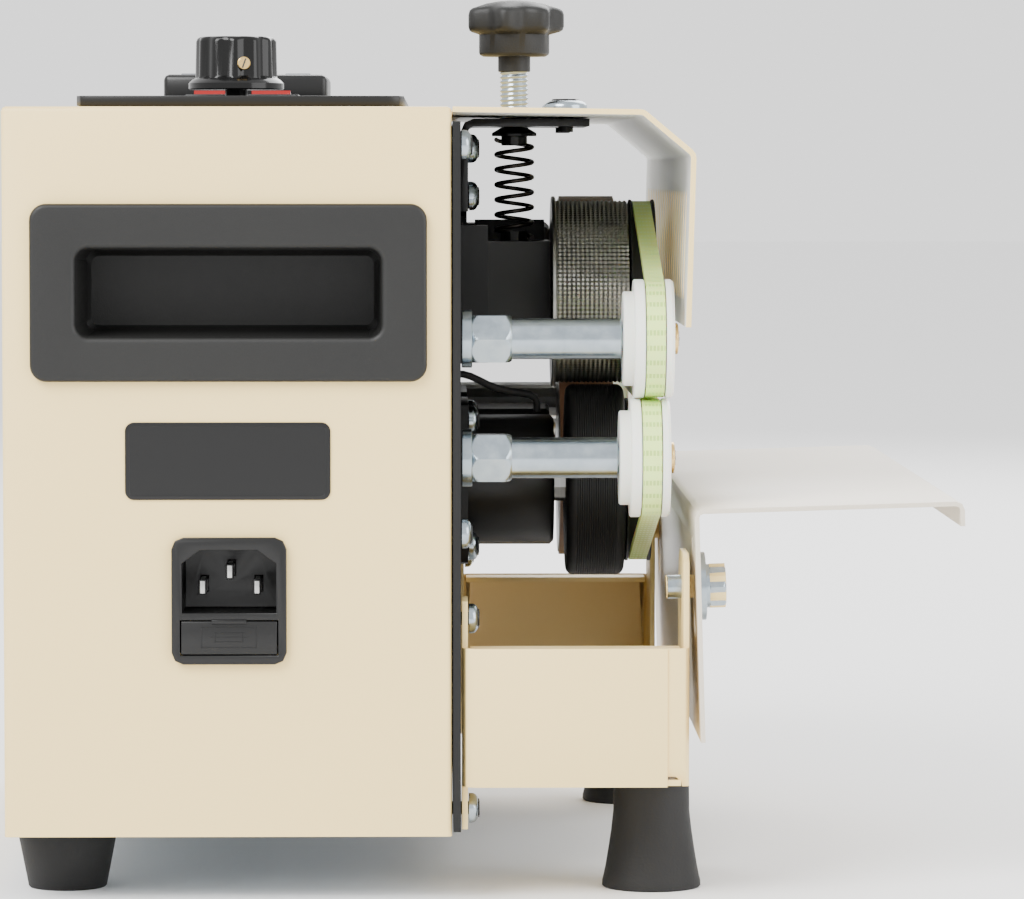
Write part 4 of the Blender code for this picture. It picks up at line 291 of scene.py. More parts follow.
def mottled(name, colour, cloud, shades=None, gloss=None, bumps=None, **fixed):
    """A finish with a cloud of noise, by its scale, detail and stretch.

    The cloud mixes two shades and varies the gloss from its lowest roughness by a spread.
    The bumps have a noise of their own or the cloud's, a strength and a distance.
    """
    made = Finish(name, colour, **fixed)
    noise = made.noise(*cloud)
    if shades:
        made.tint(noise, *shades)
    if gloss:
        made.put("Roughness", gloss[0] + gloss[1] * noise)
    if bumps:
        own, strength, distance = bumps
        made.relief(made.noise(*own) if own else noise, strength, distance)
    return made


FINE = 0.0002
MAKERS = {
    maker.__name__: maker
    for maker in (
        cream_coat, shelf_coat, black_coat, motor_paint, moulded, belt_green, glass_cloth
    )
}
MOTTLED = {
    "thin_coat": dict(
        name="thin_inner_coat", colour=(0.8, 0.79, 0.75), cloud=(45, 4),
        shades=((0.7, 0.69, 0.66), (0.88, 0.87, 0.84)), gloss=(0.38, 0.16),
        bumps=((700, 3), 0.15, FINE),
    ),
    "oxide": dict(
        name="black_oxide", colour=grey(0.005), cloud=(500, 3), bumps=(None, 0.15, FINE),
        Roughness=0.38, specular=0.3,
    ),
    "smooth_black": dict(colour=grey(0.006), cloud=(60, 2), gloss=(0.27, 0.1), specular=0.35),
    "gloss_black": dict(colour=grey(0.003), cloud=(80, 2), gloss=(0.12, 0.06), specular=0.28),
    "sole_rubber": dict(
        colour=grey(0.01), cloud=(90, 4), shades=(grey(0.006), (0.016, 0.0155, 0.015)),
        gloss=(0.55, 0.25), bumps=((1400, 2), 0.25, FINE), specular=0.35,
    ),
    "press_rubber": dict(colour=grey(0.006), cloud=(200, 3), gloss=(0.5, 0.2), specular=0.35),
    "zinc": dict(
        name="zinc_plate", colour=(0.36, 0.41, 0.46), cloud=(260, 3),
        shades=((0.24, 0.29, 0.33), (0.46, 0.52, 0.56)), gloss=(0.14, 0.16),
        bumps=((900, 2, (0.15, 1, 1)), 0.08, FINE), metallic=1.0,
    ),
    "turned_steel": dict(
        colour=(0.5, 0.5, 0.49), cloud=(1800, 2, (1, 0.04, 0.04)),
        shades=((0.36, 0.36, 0.35), (0.6, 0.6, 0.58)), gloss=(0.24, 0.16), metallic=1.0,
    ),
    "knurl_steel": dict(
        colour=(0.34, 0.34, 0.32), cloud=(120, 4), shades=((0.2, 0.2, 0.185), (0.44, 0.44, 0.41)),
        gloss=(0.22, 0.2), metallic=1.0,
    ),
    "spring_wire": dict(
        colour=(0.045, 0.04, 0.035), cloud=(300, 3), gloss=(0.26, 0.2), metallic=0.9,
    ),
    "brass": dict(colour=(0.72, 0.5, 0.2), cloud=(500, 2), gloss=(0.2, 0.15), metallic=1.0),
    "aluminium": dict(
        name="milled_aluminium", colour=(0.62, 0.62, 0.61), cloud=(900, 2, (0.05, 1, 1)),
        gloss=(0.28, 0.18), bumps=(None, 0.1, FINE), metallic=1.0,
    ),
    "nylon": dict(
        name="white_nylon", colour=(0.86, 0.87, 0.8), cloud=(40, 2),
        shades=((0.82, 0.84, 0.76), (0.9, 0.9, 0.84)), Roughness=0.38, Subsurface_Weight=0.25,
        Subsurface_Scale=0.002,
    ),
    "rocker_red": dict(
        colour=(0.3, 0.008, 0.006), cloud=(40, 2),
        shades=((0.26, 0.006, 0.005), (0.34, 0.01, 0.008)), Roughness=0.25, specular=0.3,
    ),
    "print_white": dict(
        name="white_print", colour=(0.75, 0.75, 0.73), cloud=(300, 2), gloss=(0.45, 0.15),
    ),
    "display": dict(
        name="display_window", colour=(0.02, 0.004, 0.004), cloud=(50, 2), gloss=(0.06, 0.05),
        Coat_Weight=0.8, Coat_Roughness=0.03,
    ),
    "key_grey": dict(colour=(0.2, 0.21, 0.23), cloud=(400, 2), gloss=(0.4, 0.1)),
    "plate_black": dict(
        name="name_plate_black", colour=grey(0.005), cloud=(700, 2, (0.03, 1, 1)),
        gloss=(0.26, 0.12), bumps=(None, 0.05, 0.0001), specular=0.35,
    ),
    "floor_paper": dict(name="pale_floor", colour=grey(0.93), cloud=(3, 2), gloss=(0.65, 0.1)),
    # Painted shade: a dark finish for bars that stand for the shadow inside screw recesses and
    # slots
    "recess_painted_shade": dict(
        name="recess_shade", colour=(0.06, 0.065, 0.07), cloud=(900, 2), gloss=(0.35, 0.1),
        metallic=0.8,
    ),
}
FINISHES = {}


def finish(name):
    """The named finish, made once."""
    if name not in FINISHES:
        made = MAKERS[name]() if name in MAKERS else mottled(**{"name": name, **MOTTLED[name]})
        FINISHES[name] = made.made
    return FINISHES[name]


def piece(name, shape, look, node, sharp=32, body=None):
    """Makes a bmesh a piece with a finish, smooth but for its sharp edges.

    It rides on the node's body or the named one, or on nothing where it bends between two.
    """
    mesh = bpy.data.meshes.new(name)
    shape.to_mesh(mesh)
    shape.free()
    mesh.shade_smooth()
    mesh.set_sharp_from_angle(angle=math.radians(sharp))
    made = bpy.data.objects.new(name, mesh)
    bpy.context.scene.collection.objects.link(made)
    mesh.materials.append(finish(look))
    if body != BENDS:
        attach(made, body or BODY_OF[node])
    return made


def stands_for(node, shape, look, sharp=32):
    """A piece in place of a solid, on the solid's own body."""
    made = piece(f"{node}_finished", shape, look, node, sharp)
    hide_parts(node)
    return made


def copied(node):
    """A solid's mesh with its loose triangles joined and its flat faces whole."""
    shape = bmesh.new()
    shape.from_mesh(frame["nodes"][node].data)
    bmesh.ops.remove_doubles(shape, verts=shape.verts, dist=2e-6)
    bmesh.ops.dissolve_limit(
        shape, angle_limit=math.radians(0.8), use_dissolve_boundaries=False, verts=shape.verts,
        edges=shape.edges,
    )
    return shape


def meshed(curve):
    """The surface of a curve or a text."""
    holder = bpy.data.objects.new(curve.name, curve)
    bpy.context.scene.collection.objects.link(holder)
    bpy.context.view_layer.update()
    shown = holder.evaluated_get(bpy.context.evaluated_depsgraph_get())
    mesh = bpy.data.meshes.new_from_object(shown)
    bpy.data.objects.remove(holder)
    shape = bmesh.new()
    shape.from_mesh(mesh)
    bpy.data.meshes.remove(mesh)
    return shape


def rounded(shape, edges, width, segments=2, clamp=True):
    """Rounds edges by so many mm."""
    if width:
        bmesh.ops.bevel(
            shape, geom=edges, offset=width * MM, segments=segments, profile=0.5, affect="EDGES",
            clamp_overlap=clamp, material=-1,
        )
    return shape


def softened(node, look, edge=0.0, sharp=32):
    """A piece in place of a solid, with its hard edges rounded so that they catch the light."""
    shape = copied(node)
    hard = [
        e
        for e in shape.edges
        if len(e.link_faces) == 2
        and e.calc_face_angle(0) > HARD_ANGLE
        and e.calc_length() > SHORTEST * edge * MM
    ]
    return stands_for(node, rounded(shape, hard, edge), look, sharp)


def coated(node, look):
    """Puts a finish on a solid that shows as it is."""
    materials = frame["nodes"][node].data.materials
    materials.clear()
    materials.append(finish(look))


def sliced(shape, place, normal, **options):
    """Cuts a shape by a plane."""
    whole = [*shape.verts, *shape.edges, *shape.faces]
    return bmesh.ops.bisect_plane(shape, geom=whole, plane_co=place, plane_no=normal, **options)


def turned(profile, centre, along=ACROSS, steps=96):
    """A profile of (distance along the axis, radius) in mm, turned about an axis through centre."""
    side = along.orthogonal().normalized()
    shape = bmesh.new()
    line = [shape.verts.new(centre + along * a * MM + side * r * MM) for a, r in profile]
    edges = [shape.edges.new(pair) for pair in zip(line, line[1:])]
    if profile[0][1] and profile[0] != profile[-1]:
        edges.append(shape.edges.new((line[-1], line[0])))
    bmesh.ops.spin(
        shape, geom=[*line, *edges], cent=centre, axis=along, angle=math.tau, steps=steps,
        use_merge=True, dvec=(0, 0, 0),
    )
    bmesh.ops.remove_doubles(shape, verts=shape.verts, dist=1e-6)
    bmesh.ops.recalc_face_normals(shape, faces=shape.faces)
    return shape


def block(low, high, edge=0.0, segments=2):
    """A block between two corners in metres, its edges rounded by so many mm."""
    shape = bmesh.new()
    bmesh.ops.create_cube(shape, size=1)
    low, high = Vector(low), Vector(high)
    bmesh.ops.scale(shape, vec=high - low, verts=shape.verts)
    bmesh.ops.translate(shape, vec=(low + high) / 2, verts=shape.verts)
    return rounded(shape, list(shape.edges), edge, segments)


def stood(shape, place, along):
    """Moves an upright shape from the origin to a place, where it points along a direction."""
    turn = UP.rotation_difference(along).to_matrix().to_4x4()
    bmesh.ops.transform(shape, matrix=Matrix.Translation(place) @ turn, verts=shape.verts)
    return shape


def joined(*shapes):
    """Several shapes as one."""
    whole = bmesh.new()
    for shape in shapes:
        mesh = bpy.data.meshes.new("part")
        shape.to_mesh(mesh)
        shape.free()
        whole.from_mesh(mesh)
        bpy.data.meshes.remove(mesh)
    return whole


def stacked(rings, count, reach, centre):
    """A closed body through rings at heights in mm above centre, by each point's reach in mm."""
    shape = bmesh.new()
    loops = []
    for height, *facts in rings:
        made = bmesh.ops.create_circle(shape, cap_ends=False, radius=1, segments=count)["verts"]
        for vertex in made:
            arm = reach(math.atan2(vertex.co.y, vertex.co.x), *facts) * MM
            vertex.co = centre + Vector((vertex.co.x * arm, vertex.co.y * arm, height * MM))
        loops.append(list(dict.fromkeys(e for v in made for e in v.link_edges)))
    for lower, upper in zip(loops, loops[1:]):
        bmesh.ops.bridge_loops(shape, edges=lower + upper)
    for loop in (loops[0], loops[-1]):
        bmesh.ops.edgeloop_fill(shape, edges=loop)
    bmesh.ops.recalc_face_normals(shape, faces=shape.faces)
    return shape


def lobed(rings, centre, lobes, points):
    """A body through rings of (height, radius, depth of the hollows between its lobes)."""

    def reach(angle, radius, depth):
        return radius - depth * (0.5 - 0.5 * math.cos(lobes * angle))

    return stacked(rings, lobes * points, reach, centre)


def six_sided(rings, apothem):
    """A hexagon upright at the origin, its corners cut by a cone's rings of (height, radius)."""

    def reach(angle, cone):
        return min(apothem / math.cos((angle + math.pi / 6) % (math.pi / 3) - math.pi / 6), cone)

    steps = [rings[0]]
    for (low, first), (high, last) in zip(rings, rings[1:]):
        parts = 6 if high - low > 0.2 else 1
        for share in (part / parts for part in range(1, parts + 1)):
            steps.append((low + (high - low) * share, first + (last - first) * share))
    return stacked(steps, 72, reach, Vector())


def screw_head(name, place, along, radius, crown, look="zinc"):
    """A pan head over the solid's own, with dark crossed bars painted as the shade inside its
    recess.
    """
    centre, wide, top = at(*place), radius + COVER, crown + COVER
    profile = [(0.02, 0), (0.02, wide), (SKIRT, wide)]
    for angle in (math.radians(15 * step) for step in range(1, 6)):
        bulge = wide * (1 - (1 - math.cos(angle)) ** 1.15)
        profile.append((SKIRT + (top - SKIRT) * math.sin(angle), bulge))
    profile.append((top, 0))
    piece(name, turned(profile, centre, along, 40), look, PLATED, 50)
    long, short, depth, proud = radius * 0.95 / 2, radius * 0.95 * 0.24 / 2, 0.35, 0.04
    bars = []
    for half_x, half_y in ((long, short), (short, long)):
        high = Vector((half_x, half_y, proud)) * MM
        bar = block(Vector((-half_x, -half_y, -depth)) * MM, high)
        bars.append(stood(bar, centre + along * top * MM, along))
    piece(f"{name}_recess", joined(*bars), "recess_painted_shade", PLATED)


class SealerColours(bpy.types.PropertyGroup):
    """The colours that an owner of the model may change."""

    coat: bpy.props.FloatVectorProperty(
        name="Case coat", description="Colour of the case and guard", subtype="COLOR",
        default=(0.93, 0.7, 0.3),
    )
    shelf: bpy.props.FloatVectorProperty(
        name="Shelf coat", description="Colour of the bag shelf", subtype="COLOR",
        default=(0.68, 0.61, 0.5),
    )
    belt: bpy.props.FloatVectorProperty(
        name="Guide belts", description="Colour of the guide belts", subtype="COLOR",
        default=(0.72, 0.92, 0.3),
    )


class SealerSizes(bpy.types.PropertyGroup):
    """The sizes of the surface details."""

    knurl_pitch: bpy.props.FloatProperty(
        name="Knurl pitch", description="Distance between the knurl's points, in mm", default=1.2,
        min=0.6,
    )
    thread_pitch: bpy.props.FloatProperty(
        name="Thread pitch", description="Rise of the pressure screw's thread in a turn, in mm",
        default=1.25, min=0.5,
    )
    rib_pitch: bpy.props.FloatProperty(
        name="Rubber groove pitch",
        description="Distance between the press rubber's grooves, in mm", default=0.62,
    )
    edge: bpy.props.FloatProperty(
        name="Sheet edge", description="Rounding of the sheet metal's edges, in mm", default=0.3,
        min=0.0,
    )


class SealerStage(bpy.types.PropertyGroup):
    """The floor, the lights and the camera."""

    lens: bpy.props.FloatProperty(
        name="Lens", description="Focal length of the camera", default=178.5, unit="CAMERA", min=20,
    )
    light: bpy.props.FloatProperty(
        name="Light", description="Strength of the studio lights, as a share of the usual",
        default=1.0, min=0,
    )
    floor: bpy.props.FloatProperty(
        name="Floor", description="Side of the floor", default=24.0, unit="LENGTH", min=1,
    )


# Each light's place in metres, its size and its power
LIGHTS = {
    "key_light": ((-0.9, -1.1, 1.3), 1.0, 46), "fill_light": ((1.3, -0.9, 0.7), 1.2, 18),
    "back_light": ((0.5, 1.4, 1.1), 1.2, 26),
}
LIGHTS_AIM = Vector((0, 0, 0.12))
SKY_STRENGTH = 1.6
CAMERA_PLACE = Vector((-0.0112, -1.440, 0.1885))
CAMERA_AIM = Vector((0.0070, -0.140, 0.1170))


class SEALER_OT_stage(bpy.types.Operator):
    """Sets up the pale floor, the soft lights and the camera"""

    bl_idname = "sealer.stage"
    bl_label = "Stage"

    def execute(self, context):
        stage = context.scene.sealer_stage
        shape = bmesh.new()
        bmesh.ops.create_grid(shape, x_segments=1, y_segments=1, size=stage.floor / 2)
        mesh = bpy.data.meshes.new("floor")
        shape.to_mesh(mesh)
        shape.free()
        mesh.materials.append(finish("floor_paper"))
        floor = bpy.data.objects.new("floor", mesh)
        context.scene.collection.objects.link(floor)

        world = bpy.data.worlds.new("studio")
        world.use_nodes = True
        sky = world.node_tree.nodes["Background"].inputs
        sky["Color"].default_value = (1, 1, 1, 1)
        sky["Strength"].default_value = SKY_STRENGTH
        context.scene.world = world
        for name, (place, size, power) in LIGHTS.items():
            light = bpy.data.lights.new(name, "AREA")
            light.energy = power * stage.light
            light.size = size
            self.aimed(name, light, Vector(place), LIGHTS_AIM)

        camera = bpy.data.cameras.new("camera")
        camera.lens = stage.lens
        camera.sensor_width = 36
        camera.clip_end = 100
        context.scene.camera = self.aimed("camera", camera, CAMERA_PLACE, CAMERA_AIM)
        return {"FINISHED"}

    def aimed(self, name, data, place, aim):
        holder = bpy.data.objects.new(name, data)
        holder.location = place
        holder.rotation_euler = (aim - place).to_track_quat("-Z", "Y").to_euler()
        bpy.context.scene.collection.objects.link(holder)
        return holder


# A place under the guard that its inner faces look at
GUARD_MIDDLE = (15, 140, 176)


class SEALER_OT_sheet_metal(bpy.types.Operator):
    """Coats the case, the guard, the brackets and the shelf, with rounded edges"""

    bl_idname = "sealer.sheet_metal"
    bl_label = "Sheet metal"

    def execute(self, context):
        edge = context.scene.sealer_sizes.edge
        softened("case_shell", "cream_coat", 0, 40)
        self.line(softened("front_guard", "cream_coat", edge))
        softened("guard_bracket", "black_coat", 0.2)
        softened("tray_bracket_near", "cream_coat", edge * 0.8)
        softened("tray_bracket_far", "cream_coat", edge * 0.8)
        softened("shelf", "shelf_coat", edge)
        coated("base_plate", "zinc")
        coated("mechanism_panel", "black_coat")
        return {"FINISHED"}

    def line(self, guard):
        """Gives the guard's inner faces their thin whitish coat."""
        guard.data.materials.append(finish("thin_coat"))
        middle = at(*GUARD_MIDDLE)
        for face in guard.data.polygons:
            inward = (middle - face.center).dot(face.normal)
            if inward > 0 and abs(face.normal.y) < 0.5 and face.area > 3e-7:
                face.material_index = 1


GRIP_X, GRIP_Z = -59.4, 157.2

# The inlet's middle, each blade's place from it, half a blade's width and height, and its ends
INLET_X, INLET_Z = -59.45, 81.4
BLADES = ((-7, 0), (7, 0), (0, 4))
BLADE_HALF = (1.05, 2.05)
BLADE_ENDS = (2.95, 14)

# The strokes of the plain fuse sign, by left, low, right and high, and their front and back
FUSE_SIGN = (
    (-66.6, 71.45, -52.3, 71.65), (-66.6, 66.2, -52.3, 66.4), (-66.6, 66.2, -66.4, 71.65),
    (-52.5, 66.2, -52.3, 71.65), (-64.6, 68.85, -54.3, 69.05), (-63.2, 67.7, -55.7, 67.9),
    (-63.2, 70.0, -55.7, 70.2), (-63.2, 67.7, -62.9, 70.2), (-56.0, 67.7, -55.7, 70.2),
)
SIGN_DEPTHS = (-2.12, -1.7)
DRAWER_TAB = ((-64, -2.45, 72.4), (-54.9, -1.6, 73.4))


class SEALER_OT_grips_and_inlet(bpy.types.Operator):
    """Adds the moulded grips, the appliance inlet with its blades and the fuse drawer"""

    bl_idname = "sealer.grips_and_inlet"
    bl_label = "Grips and inlet"

    def execute(self, context):
        for side, y, out in (("near", 0, -1), ("far", CASE_LENGTH, 1)):
            shape = self.grip(at(GRIP_X, y, GRIP_Z), out)
            stands_for(f"carry_handle_{side}", shape, "moulded", 40)
        softened("power_inlet", "smooth_black", 0.25, 40)
        softened("fuse_drawer", "smooth_black", 0.2)
        half_x, half_z = BLADE_HALF
        front, back = BLADE_ENDS
        blades = []
        for across, rise in BLADES:
            x, z = INLET_X + across, INLET_Z + rise
            low = at(x - half_x, front, z - half_z)
            blades.append(block(low, at(x + half_x, back, z + half_z), 0.6))
        piece("inlet_blades", joined(*blades), "turned_steel", "power_inlet")
        front, back = SIGN_DEPTHS
        strokes = [
            block(at(left, front, low), at(right, back, high), 0.04, 1)
            for left, low, right, high in FUSE_SIGN
        ]
        piece("fuse_mark", joined(*strokes), "smooth_black", "fuse_drawer")
        tab = block(*(at(*corner) for corner in DRAWER_TAB), 0.2)
        piece("fuse_drawer_tab", tab, "smooth_black", "fuse_drawer")
        return {"FINISHED"}

    def grip(self, centre, out):
        """A recessed carrying grip: a rounded frame with a soft mouth, and the cup behind it."""
        wide, tall, corner, proud, roll = 50.8, 22.75, 4.3, 2.5, 1.1
        mouth_wide, mouth_tall, mouth_corner, lip = 39.0, 11.25, 3.2, 1.6
        wall, depth, points = 1.75, 25.9, 10
        quarter = [math.radians(18 * step) for step in range(6)]
        rings = [
            (-depth - wall, mouth_wide + wall - 0.6, mouth_tall + wall - 0.6, mouth_corner),
            (-0.35, mouth_wide + wall, mouth_tall + wall, mouth_corner + wall),
            (0.3, wide, tall, corner),
        ]
        for angle in quarter:
            inset = roll * (1 - math.cos(angle))
            rise = proud - roll + roll * math.sin(angle)
            rings.append((rise, wide - inset, tall - inset, corner - inset / 2))
        for angle in quarter:
            grow = lip * (1 - math.sin(angle))
            drop = proud - lip * (1 - math.cos(angle))
            rings.append((drop, mouth_wide + grow, mouth_tall + grow, mouth_corner + grow))
        rings.append((1.5 - depth, mouth_wide - 0.9, mouth_tall - 0.9, mouth_corner - 0.6))
        rings.append((-depth, mouth_wide - 2.2, mouth_tall - 2.2, mouth_corner - 1))
        shape = bmesh.new()
        last, around = len(rings) - 1, 4 * points
        bmesh.ops.create_grid(shape, x_segments=last, y_segments=around, size=0.5)
        for vertex in shape.verts:
            rise, half_wide, half_tall, radius = rings[round((vertex.co.x + 0.5) * last)]
            index, step = divmod(round((vertex.co.y + 0.5) * around) % around, points)
            angle = math.radians(90 * index + 90 * step / (points - 1))
            side_x = 1 if index in (0, 3) else -1
            side_z = 1 if index in (0, 1) else -1
            across = side_x * (half_wide - radius) + radius * math.cos(angle)
            up = side_z * (half_tall - radius) + radius * math.sin(angle)
            vertex.co = centre + Vector((across, out * rise, up)) * MM
        bmesh.ops.remove_doubles(shape, verts=shape.verts, dist=1e-6)
        bmesh.ops.edgeloop_fill(shape, edges=[e for e in shape.edges if e.is_boundary])
        bmesh.ops.recalc_face_normals(shape, faces=shape.faces)
        return shape


NAME_PLATE = ((-86.05, -0.45, 104.1), (-33.4, 0.02, 124.0))


class SEALER_OT_name_plate(bpy.types.Operator):
    """Adds the bare black name plate on the near end"""

    bl_idname = "sealer.name_plate"
    bl_label = "Name plate"

    def execute(self, context):
        shape = block(*(at(*corner) for corner in NAME_PLATE))
        corners = [e for e in shape.edges if abs(e.verts[0].co.y - e.verts[1].co.y) > 0.0001]
        rounded(shape, corners, 2.3, 6, False)
        front = [f for f in shape.faces if f.normal.y < -0.9]
        rim = list(dict.fromkeys(e for f in front for e in f.edges))
        rounded(shape, rim, 0.15, 2, False)
        front = [f for f in shape.faces if f.normal.y < -0.9 and f.calc_area() > 1e-4]
        for width, depth in ((0.9, 0), (0.12, -0.1)):
            bmesh.ops.inset_region(shape, faces=front, thickness=width * MM, depth=depth * MM)
        piece("name_plate_blank", shape, "plate_black", "carry_handle_near")
        return {"FINISHED"}


# Half of each rocker's height over this level is seen
ROCKER_RIM = 207.9
DISPLAY = ((-81.4, 209, 216.3), (-43.4, 238, 216.72))

# The dial's marks, by the first one's angle, the step and the distances from the dial's middle
DIAL_MARKS = 11
DIAL_START, DIAL_STEP = 225, 27
TICK_FROM, TICK_TO, TICK_HALF = 14.2, 16.8, 0.22
NUMBER_REACH, NUMBER_SIZE, NUMBER_PROUD = 19.4, 3.4, 0.03


class SEALER_OT_controls(bpy.types.Operator):
    """Adds the control plate's rockers, keys, display and dial scale"""

    bl_idname = "sealer.controls"
    bl_label = "Controls"

    def execute(self, context):
        softened("control_panel", "smooth_black", 0.35)
        rim = at(0, 0, ROCKER_RIM).z
        for node in ("power_rocker", "heater_rocker"):
            shape = copied(node)
            for vertex in shape.verts:
                if vertex.co.z > rim:
                    vertex.co.z = rim + (vertex.co.z - rim) * 0.5
            stands_for(node, shape, "rocker_red")
        softened("temperature_controller", "smooth_black", 0.3)
        for index in (1, 2, 3, 4):
            softened(f"controller_key_{index}", "key_grey", 0.35)
        window = block(*(at(*corner) for corner in DISPLAY), 0.15)
        piece("display_window", window, "display", "temperature_controller")
        turns = [math.radians(DIAL_START - DIAL_STEP * index) for index in range(DIAL_MARKS)]
        ticks = []
        for angle in turns:
            low = Vector((TICK_FROM, -TICK_HALF, CONTROL_TOP - 0.2)) * MM
            tick = block(low, Vector((TICK_TO, TICK_HALF, CONTROL_TOP + 0.06)) * MM)
            spin = Matrix.Translation(at(DIAL_X, DIAL_Y, 0)) @ Matrix.Rotation(angle, 4, "Z")
            bmesh.ops.transform(tick, matrix=spin, verts=tick.verts)
            ticks.append(tick)
        piece("dial_scale", joined(*ticks), "print_white", "control_panel")
        for index, angle in list(enumerate(turns))[::2]:
            word = bpy.data.curves.new("dial_number", "FONT")
            word.body = str(index)
            word.size = NUMBER_SIZE * MM
            word.align_x = "CENTER"
            word.align_y = "CENTER"
            word.extrude = NUMBER_PROUD * MM
            shape = meshed(word)
            x = DIAL_X + NUMBER_REACH * math.cos(angle)
            y = DIAL_Y + NUMBER_REACH * math.sin(angle)
            spot = at(x, y, CONTROL_TOP + NUMBER_PROUD)
            bmesh.ops.translate(shape, vec=spot, verts=shape.verts)
            piece(f"dial_number_{index}", shape, "print_white", "control_panel")
        return {"FINISHED"}


# Height, radius and depth of the flutes, in mm
SPEED_KNOB = (
    (0, 12.2, 0), (0.3, 12.5, 0), (1.7, 12.5, 0), (2.6, 11.6, 0), (3.0, 10.85, 0.1),
    (3.6, 10.75, 0.8), (12.6, 10.55, 0.8), (13.4, 10.2, 0.5), (13.85, 9.5, 0.2), (13.9, 8.6, 0.0),
    (13.6, 8.2, 0.0), (13.6, 1.0, 0.0),
)
SPEED_KNOB_Z = 209.6
SET_SCREW = ((0, 0), (0, 1.7), (0.5, 1.7), (0.7, 1.5), (0.7, 0))
SET_SCREW_PLACE = Vector((2.3, -9.85, 6.8))
SET_SCREW_FACING = Vector((0.23, -0.97, 0)).normalized()
SLOT_HALF = Vector((0.2, 0.3, 1.3))
SLOT_REACH, SLOT_TURN, SLOT_LEAN = 0.44, 13, 20
POINTER = (Vector((-0.3, 3.5, 13.5)), Vector((0.3, 8.0, 13.85)))


class SEALER_OT_speed_knob(bpy.types.Operator):
    """Adds the glossy fluted speed knob and its brass set screw"""

    bl_idname = "sealer.speed_knob"
    bl_label = "Speed knob"

    def execute(self, context):
        centre = at(DIAL_X, DIAL_Y, SPEED_KNOB_Z)
        stands_for("speed_knob", lobed(SPEED_KNOB, centre, 12, 10), "gloss_black", 40)
        screw = centre + SET_SCREW_PLACE * MM
        head = turned(SET_SCREW, screw, SET_SCREW_FACING, 32)
        piece("dial_set_screw", head, "brass", "speed_knob")
        # The slot is a dark block painted as the shade inside the set screw's slot
        slot = block(-SLOT_HALF * MM, SLOT_HALF * MM)
        lean = Matrix.Translation(screw + SET_SCREW_FACING * SLOT_REACH * MM)
        lean = lean @ Matrix.Rotation(math.radians(SLOT_TURN), 4, "Z")
        lean = lean @ Matrix.Rotation(math.radians(SLOT_LEAN), 4, "Y")
        bmesh.ops.transform(slot, matrix=lean, verts=slot.verts)
        piece("dial_set_screw_slot", slot, "recess_painted_shade", "speed_knob")
        line = block(*(centre + corner * MM for corner in POINTER))
        piece("dial_pointer", line, "print_white", "speed_knob")
        return {"FINISHED"}


# The thread's rise as a share of its pitch, and its radius
THREAD = ((0, 3.42), (0.12, 3.42), (0.5, 3.98), (0.62, 3.98), (1, 3.42))
THREAD_LOW, THREAD_HIGH, THREAD_STEPS = 200.8, 226.6, 28

# Height, radius and depth of the hollows between the lobes, in mm
STAR_KNOB = (
    (0, 8.6, 0), (0.5, 9.5, 0), (1.1, 9.7, 0), (6.0, 9.7, 0), (6.8, 12.6, 2.2), (7.3, 13.4, 2.6),
    (8.3, 13.75, 2.7), (11.6, 13.75, 2.7), (12.6, 13.4, 2.5), (13.2, 12.6, 2.0), (13.7, 11.0, 1.2),
    (14.6, 8.0, 0.2), (15.2, 4.6, 0), (15.48, 1.2, 0),
)
STAR_NECK = ((-4.2, 3.5), (-4.2, 4.25), (-4.0, 4.45), (0.1, 4.45), (0.1, 3.5))

# The spring's middle radius, half its wire, its turns, its ends and the points on half of it
SPRING_RADIUS, WIRE_RADIUS, SPRING_TURNS = 4.97, 0.61, 6.5
SPRING_LOW, SPRING_HIGH = 170.03, 196.97
SPRING_POINTS = 110


